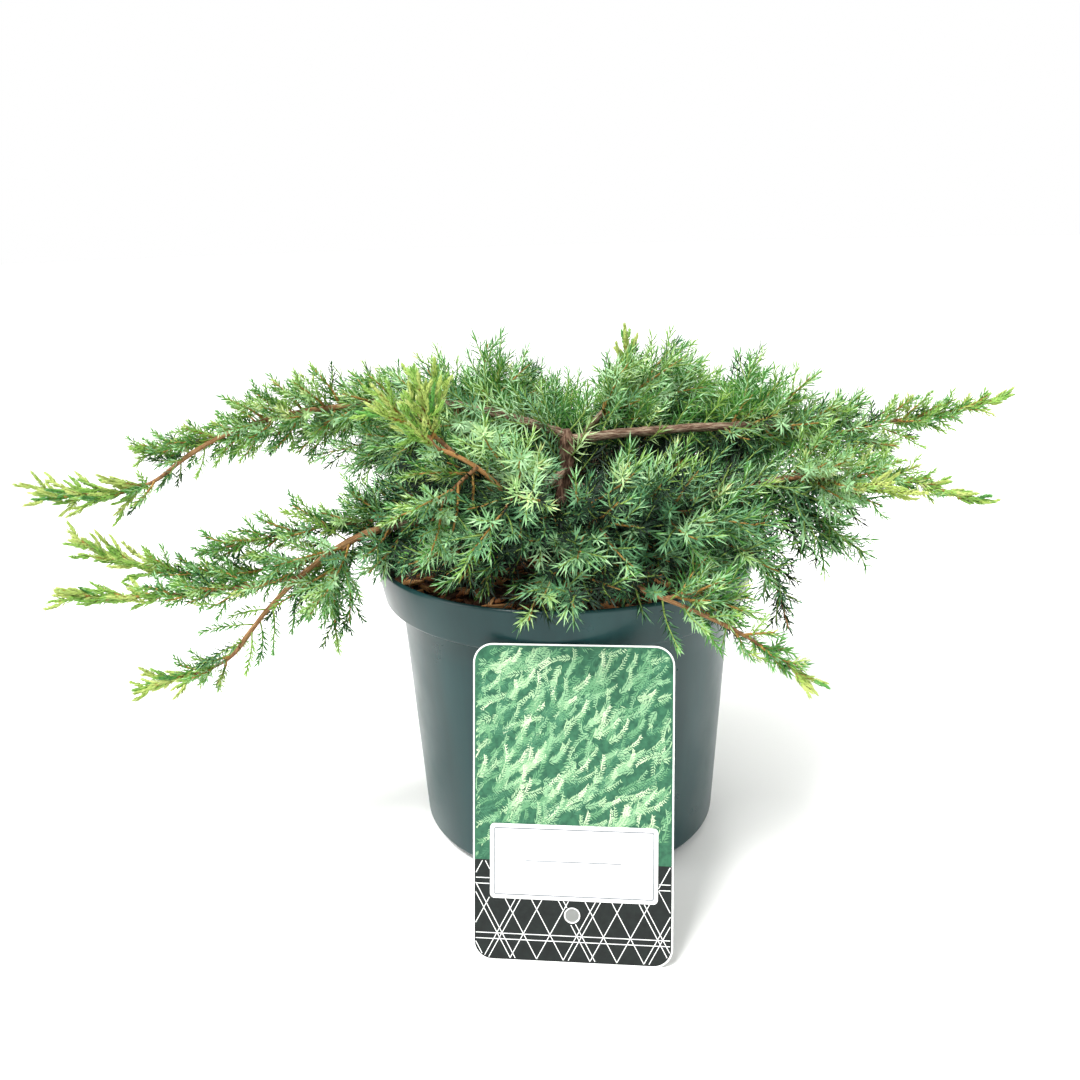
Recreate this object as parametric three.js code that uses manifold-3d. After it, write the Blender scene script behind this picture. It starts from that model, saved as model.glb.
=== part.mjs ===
// A potted common juniper: a low, spreading plant in a round nursery pot, with its plant card.
// Millimetres, +Z up. The origin is the middle of the pot's flat underside, -Y faces the viewer.
import * as THREE from "three";
import { mergeVertices } from "three/addons/utils/BufferGeometryUtils.js";
import Module from "manifold-3d";

const wasm = await Module();
wasm.setup();

// Driving dimensions
const clearance = 0.3; // air between two pieces that touch
const potRadius = 95;
const potHeight = 148;
const potWall = 1.6;
const collarRadius = 91.3; // at the collar's lower edge
const collarHeight = 21;
const neckRadius = 83.8; // right under the collar
const shoulderRadius = 82.5; // where the straight wall ends, a little lower
const shoulderHeight = 112;
const potFootRadius = 76.3;
const ringInner = 42; // the raised ring of drain holes under the pot
const ringOuter = 59;
const ringRise = 3;
const drainRadius = 5;
const drainCount = 8;
const roundSides = 30;
const soilHeight = 133;
const cardWidth = 86;
const cardLength = 137.7;
const cardThickness = 0.7;
const cardCorner = 8.5;
const cardHoleRadius = 3;
const cardHoleHeight = 21;
const cardAside = 11; // from the pot's middle line to the card's
const cardFootDistance = 130; // from the pot's axis to the card's foot
const collarAtCard = 92.4; // from the pot's axis to where the card leans on it
const cardTurn = -5; // degrees round the pot
const forkHeight = 206;
const trunkRadius = 4.1;
const trunkTaper = 0.9; // how much thinner the trunk is at its fork
const rootFlare = 4.2; // how much wider it is at the soil
const flareFade = 11; // how soon the flare is gone, up along the trunk
const goldenAngle = 137.5;
const denseWidth = 24; // a mass this wide is dense enough to have a core

const radians = THREE.MathUtils.degToRad;
const vertical = new THREE.Vector3(0, 0, 1);
const sideways = new THREE.Vector3(1, 0, 0);

function finish(color, roughness) {
  return new THREE.MeshStandardMaterial({ color, roughness, metalness: 0 });
}
const potPlastic = finish(0x23302f, 0.38);
const barkSoil = finish(0x4a3122, 0.95);
const cardPlastic = finish(0x8fae83, 0.5);
const oldBark = finish(0x6a4c3a, 0.9);
const youngBark = finish(0xa87a4a, 0.8);
const needles = finish(0x4f8a5b, 0.7);
const freshNeedles = finish(0x8dbb52, 0.7);

// A closed geometry as a solid: shared corners are merged and faces without area are dropped.
function solidOf(geometry) {
  const bare = new THREE.BufferGeometry();
  bare.setAttribute("position", geometry.getAttribute("position"));
  bare.setIndex(geometry.getIndex());
  const merged = mergeVertices(bare);
  const corners = Array.from(merged.getIndex().array);
  const faces = [];
  for (let i = 0; i < corners.length; i += 3) {
    const face = corners.slice(i, i + 3);
    if (new Set(face).size === 3) faces.push(...face);
  }
  const vertProperties = merged.getAttribute("position").array;
  return new wasm.Manifold(
    new wasm.Mesh({ numProp: 3, vertProperties, triVerts: new Uint32Array(faces) }),
  );
}

function geometryOf(solid) {
  const mesh = solid.getMesh();
  const geometry = new THREE.BufferGeometry();
  geometry.setAttribute("position", new THREE.BufferAttribute(mesh.vertProperties, 3));
  geometry.setIndex(new THREE.BufferAttribute(mesh.triVerts, 1));
  geometry.computeVertexNormals();
  return geometry;
}

// The main body of a solid: loose scraps and the skins of sealed hollows are left behind.
function mainBody(solid) {
  const bodies = solid.simplify(clearance / 2).decompose();
  return bodies.reduce((best, body) => (body.volume() > best.volume() ? body : best));
}

const plant = new THREE.Group();

function addPart(name, solid, material) {
  const mesh = new THREE.Mesh(geometryOf(solid), material);
  mesh.name = name;
  plant.add(mesh);
}

// The same numbers for the same seed, every time.
function seeded(seed) {
  let state = seed;
  return () => {
    state = (state + 0x6d2b79f5) | 0;
    let mixed = Math.imul(state ^ (state >>> 15), 1 | state);
    mixed = (mixed + Math.imul(mixed ^ (mixed >>> 7), 61 | mixed)) ^ mixed;
    return ((mixed ^ (mixed >>> 14)) >>> 0) / 4294967296;
  };
}

// A point named by its compass heading round the pot, its reach from the pot's axis, and its height.
function place(heading, reach, height) {
  const turn = radians(heading);
  return new THREE.Vector3(reach * Math.cos(turn), reach * Math.sin(turn), height);
}

// A turned shape: the profile's radius and height pairs, spun round the vertical axis.
function turned(profile) {
  const points = profile.map(([radius, height]) => new THREE.Vector2(radius, height));
  const lathe = new THREE.LatheGeometry(points, roundSides);
  lathe.rotateX(Math.PI / 2);
  return solidOf(lathe);
}

// The pot: thin plastic wall, a deep stepped collar, and a raised ring of drain holes underneath.
const collarFoot = potHeight - collarHeight;

function potSolid() {
  const outside = [
    [0, 0],
    [ringInner - 2, 0],
    [ringInner + 1, ringRise],
    [ringOuter - 1, ringRise],
    [ringOuter + 2, 0],
    [potFootRadius - 5, 0],
    [potFootRadius, 5],
    [shoulderRadius, shoulderHeight],
    [neckRadius, collarFoot - 3],
    [collarRadius, collarFoot],
    [potRadius, potHeight - 1],
    [potRadius - 0.8, potHeight],
  ];
  const inside = [
    [potRadius - potWall - 0.2, potHeight],
    [collarRadius - potWall, collarFoot + 1.5],
    [neckRadius - potWall, collarFoot - 1.5],
    [shoulderRadius - potWall, shoulderHeight],
    [potFootRadius - potWall, 5.5],
    [potFootRadius - 6.3, potWall],
    [ringOuter + 3, potWall],
    [ringOuter, ringRise + potWall],
    [ringInner, ringRise + potWall],
    [ringInner - 3, potWall],
    [0, potWall],
  ];
  let pot = turned([...outside, ...inside]);
  for (let i = 0; i < drainCount; i++) {
    const hole = new THREE.CylinderGeometry(drainRadius, drainRadius, 4 * ringRise, 8);
    hole.rotateX(Math.PI / 2);
    const middle = place((360 / drainCount) * (i + 0.5), (ringInner + ringOuter) / 2, ringRise);
    hole.translate(middle.x, middle.y, middle.z);
    pot = pot.subtract(solidOf(hole));
  }
  return pot;
}

// The potting soil fills the pot to a little under the rim, slightly domed.
function soilSolid() {
  const skin = potWall + clearance;
  return turned([
    [0, ringRise + skin],
    [ringOuter, ringRise + skin],
    [ringOuter + 3, skin],
    [potFootRadius - 6.5, skin],
    [potFootRadius - skin - 0.1, 6],
    [shoulderRadius - skin, shoulderHeight],
    [neckRadius - skin, collarFoot - 1.2],
    [collarRadius - skin, collarFoot + 2],
    [collarRadius - skin, soilHeight - 3],
    [60, soilHeight - 1.5],
    [25, soilHeight],
    [0, soilHeight],
  ]);
}

// The plant card stands on the floor and leans back on the collar.
function cardPart() {
  const side = cardWidth / 2 - cardCorner;
  const top = cardLength - cardCorner;
  const outline = new THREE.Shape();
  outline.absarc(side, cardCorner, cardCorner, -Math.PI / 2, 0);
  outline.absarc(side, top, cardCorner, 0, Math.PI / 2);
  outline.absarc(-side, top, cardCorner, Math.PI / 2, Math.PI);
  outline.absarc(-side, cardCorner, cardCorner, Math.PI, 1.5 * Math.PI);
  const hole = new THREE.Path();
  hole.absarc(0, cardHoleHeight, cardHoleRadius, 0, 2 * Math.PI, true);
  outline.holes.push(hole);
  const plate = new THREE.ExtrudeGeometry(outline, {
    depth: cardThickness,
    bevelEnabled: false,
    curveSegments: 5,
  });
  const lean = Math.asin((cardFootDistance - collarAtCard - clearance) / cardLength);
  const card = new THREE.Mesh(geometryOf(solidOf(plate)), cardPlastic);
  card.name = "plant_card";
  card.position.set(cardAside, -cardFootDistance, 0);
  card.rotation.x = Math.PI / 2 - lean;
  const turn = new THREE.Group();
  turn.rotation.z = radians(cardTurn);
  turn.add(card);
  plant.add(turn);
  turn.updateMatrixWorld(true);
  return solidOf(card.geometry.clone().applyMatrix4(card.matrixWorld));
}

// A limb's line: a cubic curve from start to end, arched up (or sagging) and a little crooked.
function limbCurve(start, end, arch, crook, random) {
  const bends = [1 / 3, 2 / 3].map((share) => {
    const bend = start.clone().lerp(end, share);
    bend.x += crook * (2 * random() - 1);
    bend.y += crook * (2 * random() - 1);
    bend.z += crook * (2 * random() - 1) + arch / 0.75;
    return bend;
  });
  return new THREE.CubicBezierCurve3(start, bends[0], bends[1], end);
}

// Two directions across a curve at a point, measured from one that the whole curve stays clear of.
function across(curve, tangent) {
  const chord = curve.v3.clone().sub(curve.v0).normalize();
  const reference = Math.abs(chord.z) > 0.8 ? sideways : vertical;
  const side = new THREE.Vector3().crossVectors(tangent, reference).normalize();
  const over = new THREE.Vector3().crossVectors(side, tangent);
  return [side, over];
}

// A tapering limb: a cylinder whose rings are laid along the curve, each with its own radius.
function limbSolid(curve, radiusAt, sides, steps, extra = 0) {
  const tube = new THREE.CylinderGeometry(1, 1, 1, sides, steps);
  const spots = tube.getAttribute("position");
  for (let i = 0; i < spots.count; i++) {
    const share = 0.5 - spots.getY(i);
    const tangent = curve.getTangent(share);
    const [side, over] = across(curve, tangent);
    const radius = radiusAt(share) + extra;
    const spot = curve.getPoint(share);
    spot.addScaledVector(tangent, share === 0 ? -extra : share === 1 ? extra : 0);
    spot.addScaledVector(side, radius * spots.getX(i));
    spot.addScaledVector(over, -radius * spots.getZ(i));
    spots.setXYZ(i, spot.x, spot.y, spot.z);
  }
  return solidOf(tube);
}

function taper(from, to) {
  return (share) => from + (to - from) * share;
}

// Everything that foliage has to keep clear of, as boxes and solids.
const obstacles = [];

function addObstacle(solid) {
  obstacles.push({ solid, box: solid.boundingBox() });
}

// A box that meets no other: a mass that is being grown doesn't keep clear of itself.
const nowhere = { min: [Infinity, Infinity, Infinity], max: [-Infinity, -Infinity, -Infinity] };

function boxesMeet(a, b) {
  return [0, 1, 2].every((axis) => a.min[axis] <= b.max[axis] && b.min[axis] <= a.max[axis]);
}

function touches(solid, others = obstacles) {
  const box = solid.boundingBox();
  return others.some(
    (other) => boxesMeet(box, other.box) && !solid.intersect(other.solid).isEmpty(),
  );
}

// A new limb gives way to the ones that it leaves from or passes close by.
function carve(solid) {
  const box = solid.boundingBox();
  let rest = solid;
  for (const other of obstacles) {
    if (boxesMeet(box, other.box)) rest = rest.subtract(other.solid);
  }
  return mainBody(rest);
}

// The trunk: a short, knobby stem that flares into the soil and leans a little to its fork.
const limbs = {};

function growTrunk() {
  const foot = new THREE.Vector3(0, 0, soilHeight - 4);
  const fork = new THREE.Vector3(2, 2, forkHeight);
  const curve = limbCurve(foot, fork, 0, 5, seeded(7));
  const flare = (share) => trunkRadius - trunkTaper * share + rootFlare * Math.exp(-flareFade * share);
  const ground = new THREE.BoxGeometry(potRadius, potRadius, soilHeight);
  ground.translate(0, 0, soilHeight / 2 + clearance);
  const trunk = limbSolid(curve, flare, 10, 8).subtract(solidOf(ground));
  limbs.trunk = { curve };
  addObstacle(limbSolid(curve, flare, 10, 8, clearance));
  addPart("trunk", mainBody(trunk), oldBark);
}

// Boughs: name, parent and share along it, then heading, reach and height of the tip,
// the arch, and the radius at the root and the tip.
const boughs = [
  ["bough_right_long", "trunk", 0.93, 0, 140, 206, 3, 2.4, 1.6],
  ["bough_left_high_inner", "trunk", 0.96, 177, 104, 219, 7, 2.4, 1.8],
  ["bough_left_high_outer", "bough_left_high_inner", 1, 181, 196, 190, 8, 1.8, 1.0],
  ["bough_left_low_inner", "trunk", 0.42, 208, 96, 171, 5, 2.3, 1.8],
  ["bough_left_low_outer", "bough_left_low_inner", 1, 203.5, 163, 122, 9, 1.8, 1.0],
  ["bough_front_left_inner", "trunk", 0.74, 251, 78, 195, -4, 1.8, 1.3],
  ["bough_front_left_outer", "bough_front_left_inner", 1, 236, 91, 214, 3, 1.1, 0.8],
  ["bough_front_middle", "trunk", 0.54, 263, 58, 175, 2, 1.9, 1.3],
  ["bough_front_right_inner", "trunk", 0.3, 289, 94, 156, 8, 1.6, 1.2],
  ["bough_front_right_outer", "bough_front_right_inner", 1, 301, 124, 146, 2, 1.1, 0.8],
  ["bough_right_low", "trunk", 0.62, 346.5, 121, 189, -5, 2.2, 1.4],
  ["bough_top_left", "trunk", 0.88, 152, 44, 214, 3, 2.0, 1.3],
  ["bough_top_right", "trunk", 0.82, 47, 48, 218, 3, 2.0, 1.3],
  ["bough_back_right", "trunk", 0.66, 44, 108, 182, 6, 2.6, 1.6],
  ["bough_back_middle", "trunk", 0.5, 88, 114, 178, 7, 2.7, 1.6],
  ["bough_back_left", "trunk", 0.58, 126, 108, 182, 6, 2.6, 1.6],
];

function growBoughs() {
  boughs.forEach(([name, parent, at, heading, reach, height, arch, thick, thin], order) => {
    const start = limbs[parent].curve.getPoint(at);
    const curve = limbCurve(start, place(heading, reach, height), arch, 3, seeded(20 + order));
    const solid = carve(limbSolid(curve, taper(thick, thin), 5, 4));
    limbs[name] = { curve };
    addObstacle(limbSolid(curve, taper(thick, thin), 5, 4, clearance));
    addPart(name, solid, name.endsWith("outer") ? youngBark : oldBark);
  });
}

// Foliage masses: name, limb and share along it, then heading, reach and height of the tip,
// the arch, the half width of the plume, and how many twigs the stem carries.
const masses = [
  ["left_high_tip", "bough_left_high_outer", 1, 182, 258, 181, -4, 14, 3],
  ["left_high_upper", "bough_left_high_outer", 0.42, 179.5, 212, 199, -3, 12, 3],
  ["left_high_shoulder", "bough_left_high_inner", 0.82, 176, 128, 203, 4, 15, 3],
  ["left_low_tip", "bough_left_low_outer", 1, 200.5, 207, 105, 2, 10, 2],
  ["left_low_upper", "bough_left_low_outer", 0.3, 191, 232, 168, -14, 14, 3],
  ["left_low_middle", "bough_left_low_outer", 0.55, 196, 239, 149, -4, 12, 3],
  ["left_low_hanging", "bough_left_low_outer", 0.17, 206, 124, 142, 5, 28, 3],
  ["left_low_shoulder", "bough_left_low_inner", 0.7, 198, 176, 163, 4, 16, 4],
  ["left_inside", "bough_left_high_inner", 0.5, 205, 59, 164, 2, 35, 4],
  ["front_left_bright", "bough_front_left_outer", 1, 231, 91, 237, 2, 15, 3],
  ["front_left_bright_side", "bough_front_left_outer", 0.7, 223, 104, 231, 3, 15, 2],
  ["front_left_hanging", "bough_front_left_outer", 0.4, 239, 107, 186, 4, 23, 3],
  ["front_rim_left", "bough_front_middle", 0.75, 238, 98, 166, 5, 27, 3],
  ["front_rim_middle", "bough_front_middle", 1, 272, 98, 155, 5, 28, 3],
  ["front_high_left", "bough_front_left_inner", 0.62, 256, 98, 194, 4, 30, 3],
  ["front_centre", "bough_front_middle", 0.5, 280, 102, 182, 4, 30, 3],
  ["front_right_high", "bough_front_right_inner", 0.4, 304, 98, 187, 4, 30, 3],
  ["front_right_side", "bough_front_right_inner", 0.62, 321, 104, 170, 5, 31, 4],
  ["front_right_tip", "bough_front_right_outer", 1, 311, 150, 122, 3, 9, 2],
  ["front_right_rim", "bough_front_right_outer", 0.35, 307, 119, 144, 5, 15, 3],
  ["right_tip", "bough_right_long", 1, 0, 216, 218, -3, 14, 3],
  ["right_upper", "bough_right_long", 0.66, 355, 154, 199, 2, 20, 4],
  ["right_top", "bough_right_long", 0.6, 13, 100, 199, 3, 26, 4],
  ["right_inside", "trunk", 0.4, 14, 96, 170, 3, 37, 4],
  ["right_low_tip", "bough_right_low", 1, 349, 200, 176, 0, 12, 3],
  ["right_bright", "bough_right_low", 0.86, 336, 146, 188, 3, 22, 3],
  ["right_hanging", "bough_right_low", 0.66, 341, 113, 114, 14, 15, 3],
  ["right_hanging_outer", "bough_right_low", 0.8, 349, 132, 150, 8, 24, 3],
  ["top_left_tip", "bough_top_left", 1, 146, 44, 217, 0, 25, 3],
  ["top_left_side", "bough_top_left", 0.7, 176, 80, 197, 3, 27, 3],
  ["top_middle", "bough_top_left", 0.45, 112, 20, 193, 0, 24, 3],
  ["top_right_tip", "bough_top_right", 1, 54, 60, 240, 0, 11, 3],
  ["top_right_front", "bough_top_right", 0.55, 40, 31, 209, 0, 25, 3],
  ["top_right_side", "bough_top_right", 0.8, 31, 78, 213, 0, 27, 4],
];

// The far side of the crown is filled evenly: every back bough ends in a plume and carries one more.
const backSpread = 21; // degrees between a back bough's tip and its side plume
["bough_back_right", "bough_back_middle", "bough_back_left"].forEach((bough, order) => {
  const [, , , heading, reach, height] = boughs.find(([name]) => name === bough);
  const mass = bough.replace("bough_", "");
  const drop = 12 + 6 * order;
  masses.push([mass + "_tip", bough, 1, heading, reach + 45, height - drop, 7, 38, 4]);
  masses.push([mass + "_side", bough, 0.6, heading + backSpread, reach + 26, height + 4, 6, 36, 4]);
});

// A spray of needles: a thin toothed blade, thickest near its root, that tapers to a sharp tip.
const blade = [
  [0, 0],
  [0.3, 1],
  [0.42, 0.48],
  [0.7, 0.7],
  [1, 0],
  [0.68, -0.36],
  [0.5, -0.92],
  [0.22, -0.6],
];
const bladeRidge = 0.3;
const bladeWidth = 0.32;

function spraySolid(base, along, roll, length, extra = 0) {
  const width = bladeWidth * length;
  const [side, over] = acrossLine(along, roll);
  const spots = blade.map(([share, reach]) => {
    const spot = base.clone().addScaledVector(along, share * length + Math.sign(share - 0.4) * extra);
    return spot.addScaledVector(side, reach * width + Math.sign(reach) * extra);
  });
  const half = length / 26 + extra;
  const middle = base.clone().addScaledVector(along, bladeRidge * length);
  spots.push(middle.clone().addScaledVector(over, half), middle.clone().addScaledVector(over, -half));
  const [top, bottom] = [blade.length, blade.length + 1];
  const faces = blade.flatMap((_, i) => {
    const next = (i + 1) % blade.length;
    return [top, i, next, bottom, next, i];
  });
  const geometry = new THREE.BufferGeometry().setFromPoints(spots);
  geometry.setIndex(faces);
  return solidOf(geometry);
}

// Two directions across a straight line, turned round it by the roll.
function acrossLine(along, roll) {
  const reference = Math.abs(along.z) > 0.9 ? sideways : vertical;
  const side = new THREE.Vector3().crossVectors(along, reference).normalize();
  side.applyAxisAngle(along, roll);
  const over = new THREE.Vector3().crossVectors(side, along);
  return [side, over];
}

// A twig is a three-sided spike from the stem to its spray.
function twigSolid(base, end, radius) {
  const along = end.clone().sub(base).normalize();
  const [side, over] = acrossLine(along, 0);
  const foot = [0, 120, 240].map((turn) => {
    const corner = base.clone().addScaledVector(side, radius * Math.cos(radians(turn)));
    return corner.addScaledVector(over, radius * Math.sin(radians(turn)));
  });
  const geometry = new THREE.BufferGeometry().setFromPoints([...foot, end]);
  geometry.setIndex([0, 1, 2, 0, 3, 1, 1, 3, 2, 2, 3, 0]);
  return solidOf(geometry);
}

// The twigs of a mass, by the rule that all masses share: they leave the stem at the golden angle,
// and lean forward more and get shorter towards its tip.
const twigStart = 0.14; // the share of the stem that is bare
const twigSpan = 0.68; // the share that carries twigs
const twigLean = 66; // degrees from the stem, at its root
const leanLoss = 24; // degrees less at its tip

function twigPlan(curve, width, count, random) {
  const twigs = [];
  const phase = 360 * random();
  for (let i = 0; i < count; i++) {
    const share = twigStart + (twigSpan * (i + 0.5)) / count;
    const tangent = curve.getTangent(share);
    const [side, over] = across(curve, tangent);
    const turn = radians(phase + i * goldenAngle);
    const lean = radians(twigLean - leanLoss * share);
    const along = tangent.clone().multiplyScalar(Math.cos(lean));
    along.addScaledVector(side, Math.sin(lean) * Math.cos(turn));
    along.addScaledVector(over, Math.sin(lean) * Math.sin(turn));
    const length = width * (1.3 - 0.5 * share) * (0.85 + 0.3 * random());
    const roll = Math.PI * random();
    twigs.push({ base: curve.getPoint(share), along, tangent, length, roll });
  }
  return twigs;
}

// A dense mass has a small core round the middle of its stem, as large as its neighbours leave room for.
const coreSizes = [0.34, 0.25, 0.16]; // shares of the plume's half width, tried in this order

function coreSolid(curve, width) {
  const swell = (share) => Math.sin(Math.PI * Math.min(Math.max((share - 0.1) / 0.8, 0), 1));
  for (const size of coreSizes) {
    const radiusAt = (share) => 0.4 + size * width * swell(share);
    const middle = new THREE.CubicBezierCurve3(
      curve.getPoint(0.15),
      curve.getPoint(0.4),
      curve.getPoint(0.65),
      curve.getPoint(0.9),
    );
    if (!touches(limbSolid(middle, radiusAt, 5, 4, clearance))) return limbSolid(middle, radiusAt, 5, 4);
  }
  return null;
}

// An open mass has twigs: each ends in a spray that bends forward, and carries one on its outer side.
// In a dense mass the twigs are inside the core, and only their sprays stand out of it.
const spraySizes = [1, 0.8, 0.6]; // a spray that would touch something is tried smaller
const twigRadius = 0.8;
const twigShare = 0.45; // of the plume's half width: the twig, and the rest is its spray
const endReach = 0.32; // of the half width: how far the last spray stands past the stem's tip
const denseEndReach = 1.1; // the same in a dense mass, whose needles are longer

function growMass(stem, curve, width, count, random) {
  const core = width < denseWidth ? null : coreSolid(curve, width);
  const pieces = core ? [stem, core] : [stem];
  const addSpray = (base, along, roll, length) => {
    for (const share of spraySizes) {
      if (touches(spraySolid(base, along, roll, share * length, clearance))) continue;
      pieces.push(spraySolid(base, along, roll, share * length));
      return;
    }
  };
  const plan = twigPlan(curve, width, core ? 2 * count : count, random);
  for (const { base, along, tangent, length, roll } of plan) {
    if (core) {
      addSpray(base.clone().addScaledVector(along, 0.1 * length), along, roll, length);
      continue;
    }
    const end = base.clone().addScaledVector(along, twigShare * length);
    if (touches(twigSolid(base, end, twigRadius + clearance))) continue;
    pieces.push(twigSolid(base, end, twigRadius));
    const forward = along.clone().addScaledVector(tangent, 0.35).normalize();
    addSpray(base.clone().lerp(end, 0.85), forward, roll, 0.85 * length);
    const outward = along.clone().addScaledVector(tangent, -0.75).normalize();
    addSpray(base.clone().lerp(end, 0.45), outward, roll + 1, 0.75 * length);
  }
  const base = curve.getPoint(0.76);
  const reach = curve.v3.clone().sub(base);
  const ending = reach.length() + (core ? denseEndReach : endReach) * width;
  addSpray(base, reach.clone().normalize(), Math.PI * random(), ending);
  return mainBody(wasm.Manifold.union(pieces));
}

// How far past its bough's tip a stem starts, so that a stem that turns off there stays clear.
const tipGap = 1;

// All stems are laid first, so that no plume grows over its neighbour's stem.
function growMasses() {
  const fixed = obstacles.length;
  const stems = masses.map(([, limb, at, heading, reach, height, arch, width], order) => {
    const parent = limbs[limb].curve;
    const start = parent.getPoint(at);
    if (at === 1) start.addScaledVector(parent.getTangent(1), tipGap);
    const curve = limbCurve(start, place(heading, reach, height), arch, 2, seeded(100 + order));
    const radius = taper(0.8 + width / 60, 0.5);
    const stem = carve(limbSolid(curve, radius, 3, 3));
    addObstacle(limbSolid(curve, radius, 3, 3, clearance));
    return { curve, stem };
  });
  stems.forEach(({ curve, stem }, order) => {
    const [name, , , , , , , width, count] = masses[order];
    obstacles[fixed + order] = { box: nowhere };
    const solid = growMass(stem, curve, width, count, seeded(300 + order));
    obstacles[fixed + order] = { solid, box: solid.boundingBox() };
    addPart("foliage_" + name, solid, name.includes("bright") ? freshNeedles : needles);
  });
}

const pot = potSolid();
const soil = soilSolid();
addPart("pot", pot, potPlastic);
addPart("soil", soil, barkSoil);
[pot, soil, cardPart()].forEach(addObstacle);
growTrunk();
growBoughs();
growMasses();

export default plant;
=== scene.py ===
# %% [markdown]
# # A juniper in a nursery pot
# The CAD frame holds the plant's real sizes: the pot, its soil, the plant card, the trunk, the boughs
# and one rough solid for each mass of foliage. This lesson keeps every one of those places and grows
# the surface that the eye expects on them: moulded plastic, bark, and some hundred thousand needles.
# Sizes are in millimetres, as in the frame's source, and turn into metres when a mesh is made.

# %% Load the frame
from math import asin, cos, exp, pi, radians, sin

import bmesh
import bpy
import numpy as np
from mathutils import Matrix, Vector, noise


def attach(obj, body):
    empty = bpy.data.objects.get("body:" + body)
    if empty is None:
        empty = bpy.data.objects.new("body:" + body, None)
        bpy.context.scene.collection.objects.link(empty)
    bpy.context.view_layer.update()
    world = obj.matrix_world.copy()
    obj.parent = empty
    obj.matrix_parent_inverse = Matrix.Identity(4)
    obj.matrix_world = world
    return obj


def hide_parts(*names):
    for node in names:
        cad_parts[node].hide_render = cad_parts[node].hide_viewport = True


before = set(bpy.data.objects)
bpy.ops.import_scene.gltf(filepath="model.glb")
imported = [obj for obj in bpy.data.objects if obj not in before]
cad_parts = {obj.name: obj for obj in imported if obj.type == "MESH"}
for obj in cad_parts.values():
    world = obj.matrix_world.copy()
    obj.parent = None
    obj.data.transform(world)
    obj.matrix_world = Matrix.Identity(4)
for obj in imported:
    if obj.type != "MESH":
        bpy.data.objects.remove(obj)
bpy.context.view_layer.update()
MM = 0.001

# %% [markdown]
# ## The camera
# The photograph looks down on the pot by about eighteen degrees from half a metre away, a little
# askew. A camera could be aimed with a constraint, but three angles and a place say the same thing
# plainly, and the matrix is then built from the three directions of the view.

# %% Set the camera
def place_object(name, data):
    piece = bpy.data.objects.new(name, data)
    bpy.context.scene.collection.objects.link(piece)
    return piece


camera_place = Vector((0, -500.25, 309.1)) * MM
pitch, yaw, roll = radians(17.67), radians(-1.42), radians(-1.56)
lens_mm, sensor_mm = 34.57, 36.0

ahead = Vector((sin(yaw) * cos(pitch), cos(yaw) * cos(pitch), -sin(pitch)))
level = Vector((cos(yaw), -sin(yaw), 0))
upright = level.cross(ahead)
view_right = cos(roll) * level + sin(roll) * upright
view_up = cos(roll) * upright - sin(roll) * level

camera = place_object("camera", bpy.data.cameras.new("camera"))
camera.data.lens = lens_mm
camera.data.sensor_width = sensor_mm
camera.data.clip_start = 0.01
camera.matrix_world = (
    Matrix.Translation(camera_place) @ Matrix((view_right, view_up, -ahead)).transposed().to_4x4()
)
bpy.context.scene.camera = camera
print("camera at", tuple(camera_place))

# %% [markdown]
# ## Small tools for meshes
# A plant this fine is mostly needles. Blender can build a mesh from Python lists, but with so many
# faces it is quicker to hand it whole arrays. Every piece is named, gets its materials, and rides on
# the one body that the plant has.

# %% Make meshes from arrays
def mesh_object(name, points, faces, materials=(), of_face=None, smooth=True):
    """A mesh object from points in millimetres and the corner numbers of its faces."""
    sizes = np.array([len(face) for face in faces])
    mesh = bpy.data.meshes.new(name)
    mesh.vertices.add(len(points))
    mesh.vertices.foreach_set("co", (np.asarray(points) * MM).astype(np.float32).ravel())
    mesh.loops.add(sizes.sum())
    mesh.loops.foreach_set("vertex_index", np.concatenate(faces).astype(np.int32))
    mesh.polygons.add(len(faces))
    mesh.polygons.foreach_set("loop_start", (np.cumsum(sizes) - sizes).astype(np.int32))
    for material in materials:
        mesh.materials.append(material)
    if of_face is not None:
        mesh.polygons.foreach_set("material_index", np.asarray(of_face, dtype=np.int32))
    mesh.polygons.foreach_set("use_smooth", np.full(len(faces), smooth))
    mesh.update(calc_edges=True)
    return place_object(name, mesh)


def finish_piece(piece, nodes=()):
    """Every piece rides on the plant's body, and the solids that it stands for are hidden."""
    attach(piece, "root")
    if nodes:
        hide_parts(*nodes)
    print(piece.name, "has", len(piece.data.polygons), "faces")

# %% Turn a profile
def turned(profile, sides):
    """Spins radius and height pairs round the vertical axis; points on the axis are shared."""
    angles = 2 * pi * np.arange(sides) / sides
    points, rings = [], []
    for radius, height in profile:
        if radius == 0:
            rings.append([len(points)] * sides)
            points.append((0, 0, height))
            continue
        rings.append(list(range(len(points), len(points) + sides)))
        points.extend((radius * cos(turn), radius * sin(turn), height) for turn in angles)
    faces = []
    for ring, upper in zip(rings, rings[1:]):
        for i in range(sides):
            j = (i + 1) % sides
            corners = (ring[i], ring[j], upper[j], upper[i])
            faces.append(tuple(dict.fromkeys(corners)))
    return points, faces


print("a turned line of two points and six sides has", len(turned([(1, 0), (1, 1)], 6)[1]), "faces")

# %% [markdown]
# ## The studio
# The plant stands on a plain pale floor in even light, as on a photographer's table. One lamp would be
# simple, but would leave the shaded side of the crown black. So a pale sky lights it from all round,
# one soft sun gives the needles their modelling, and panels put the long pale reflections down the
# sides of the pot. The studio is laid out in metres.

# %% Make a material and its nodes
def linear(code):
    """A colour such as 7aa25c, as the eye reads it, turned into Blender's linear light values."""
    parts = [int(code[i:i + 2], 16) / 255 for i in (0, 2, 4)]
    return tuple(part / 12.92 if part < 0.04045 else ((part + 0.055) / 1.055) ** 2.4 for part in parts)


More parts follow.
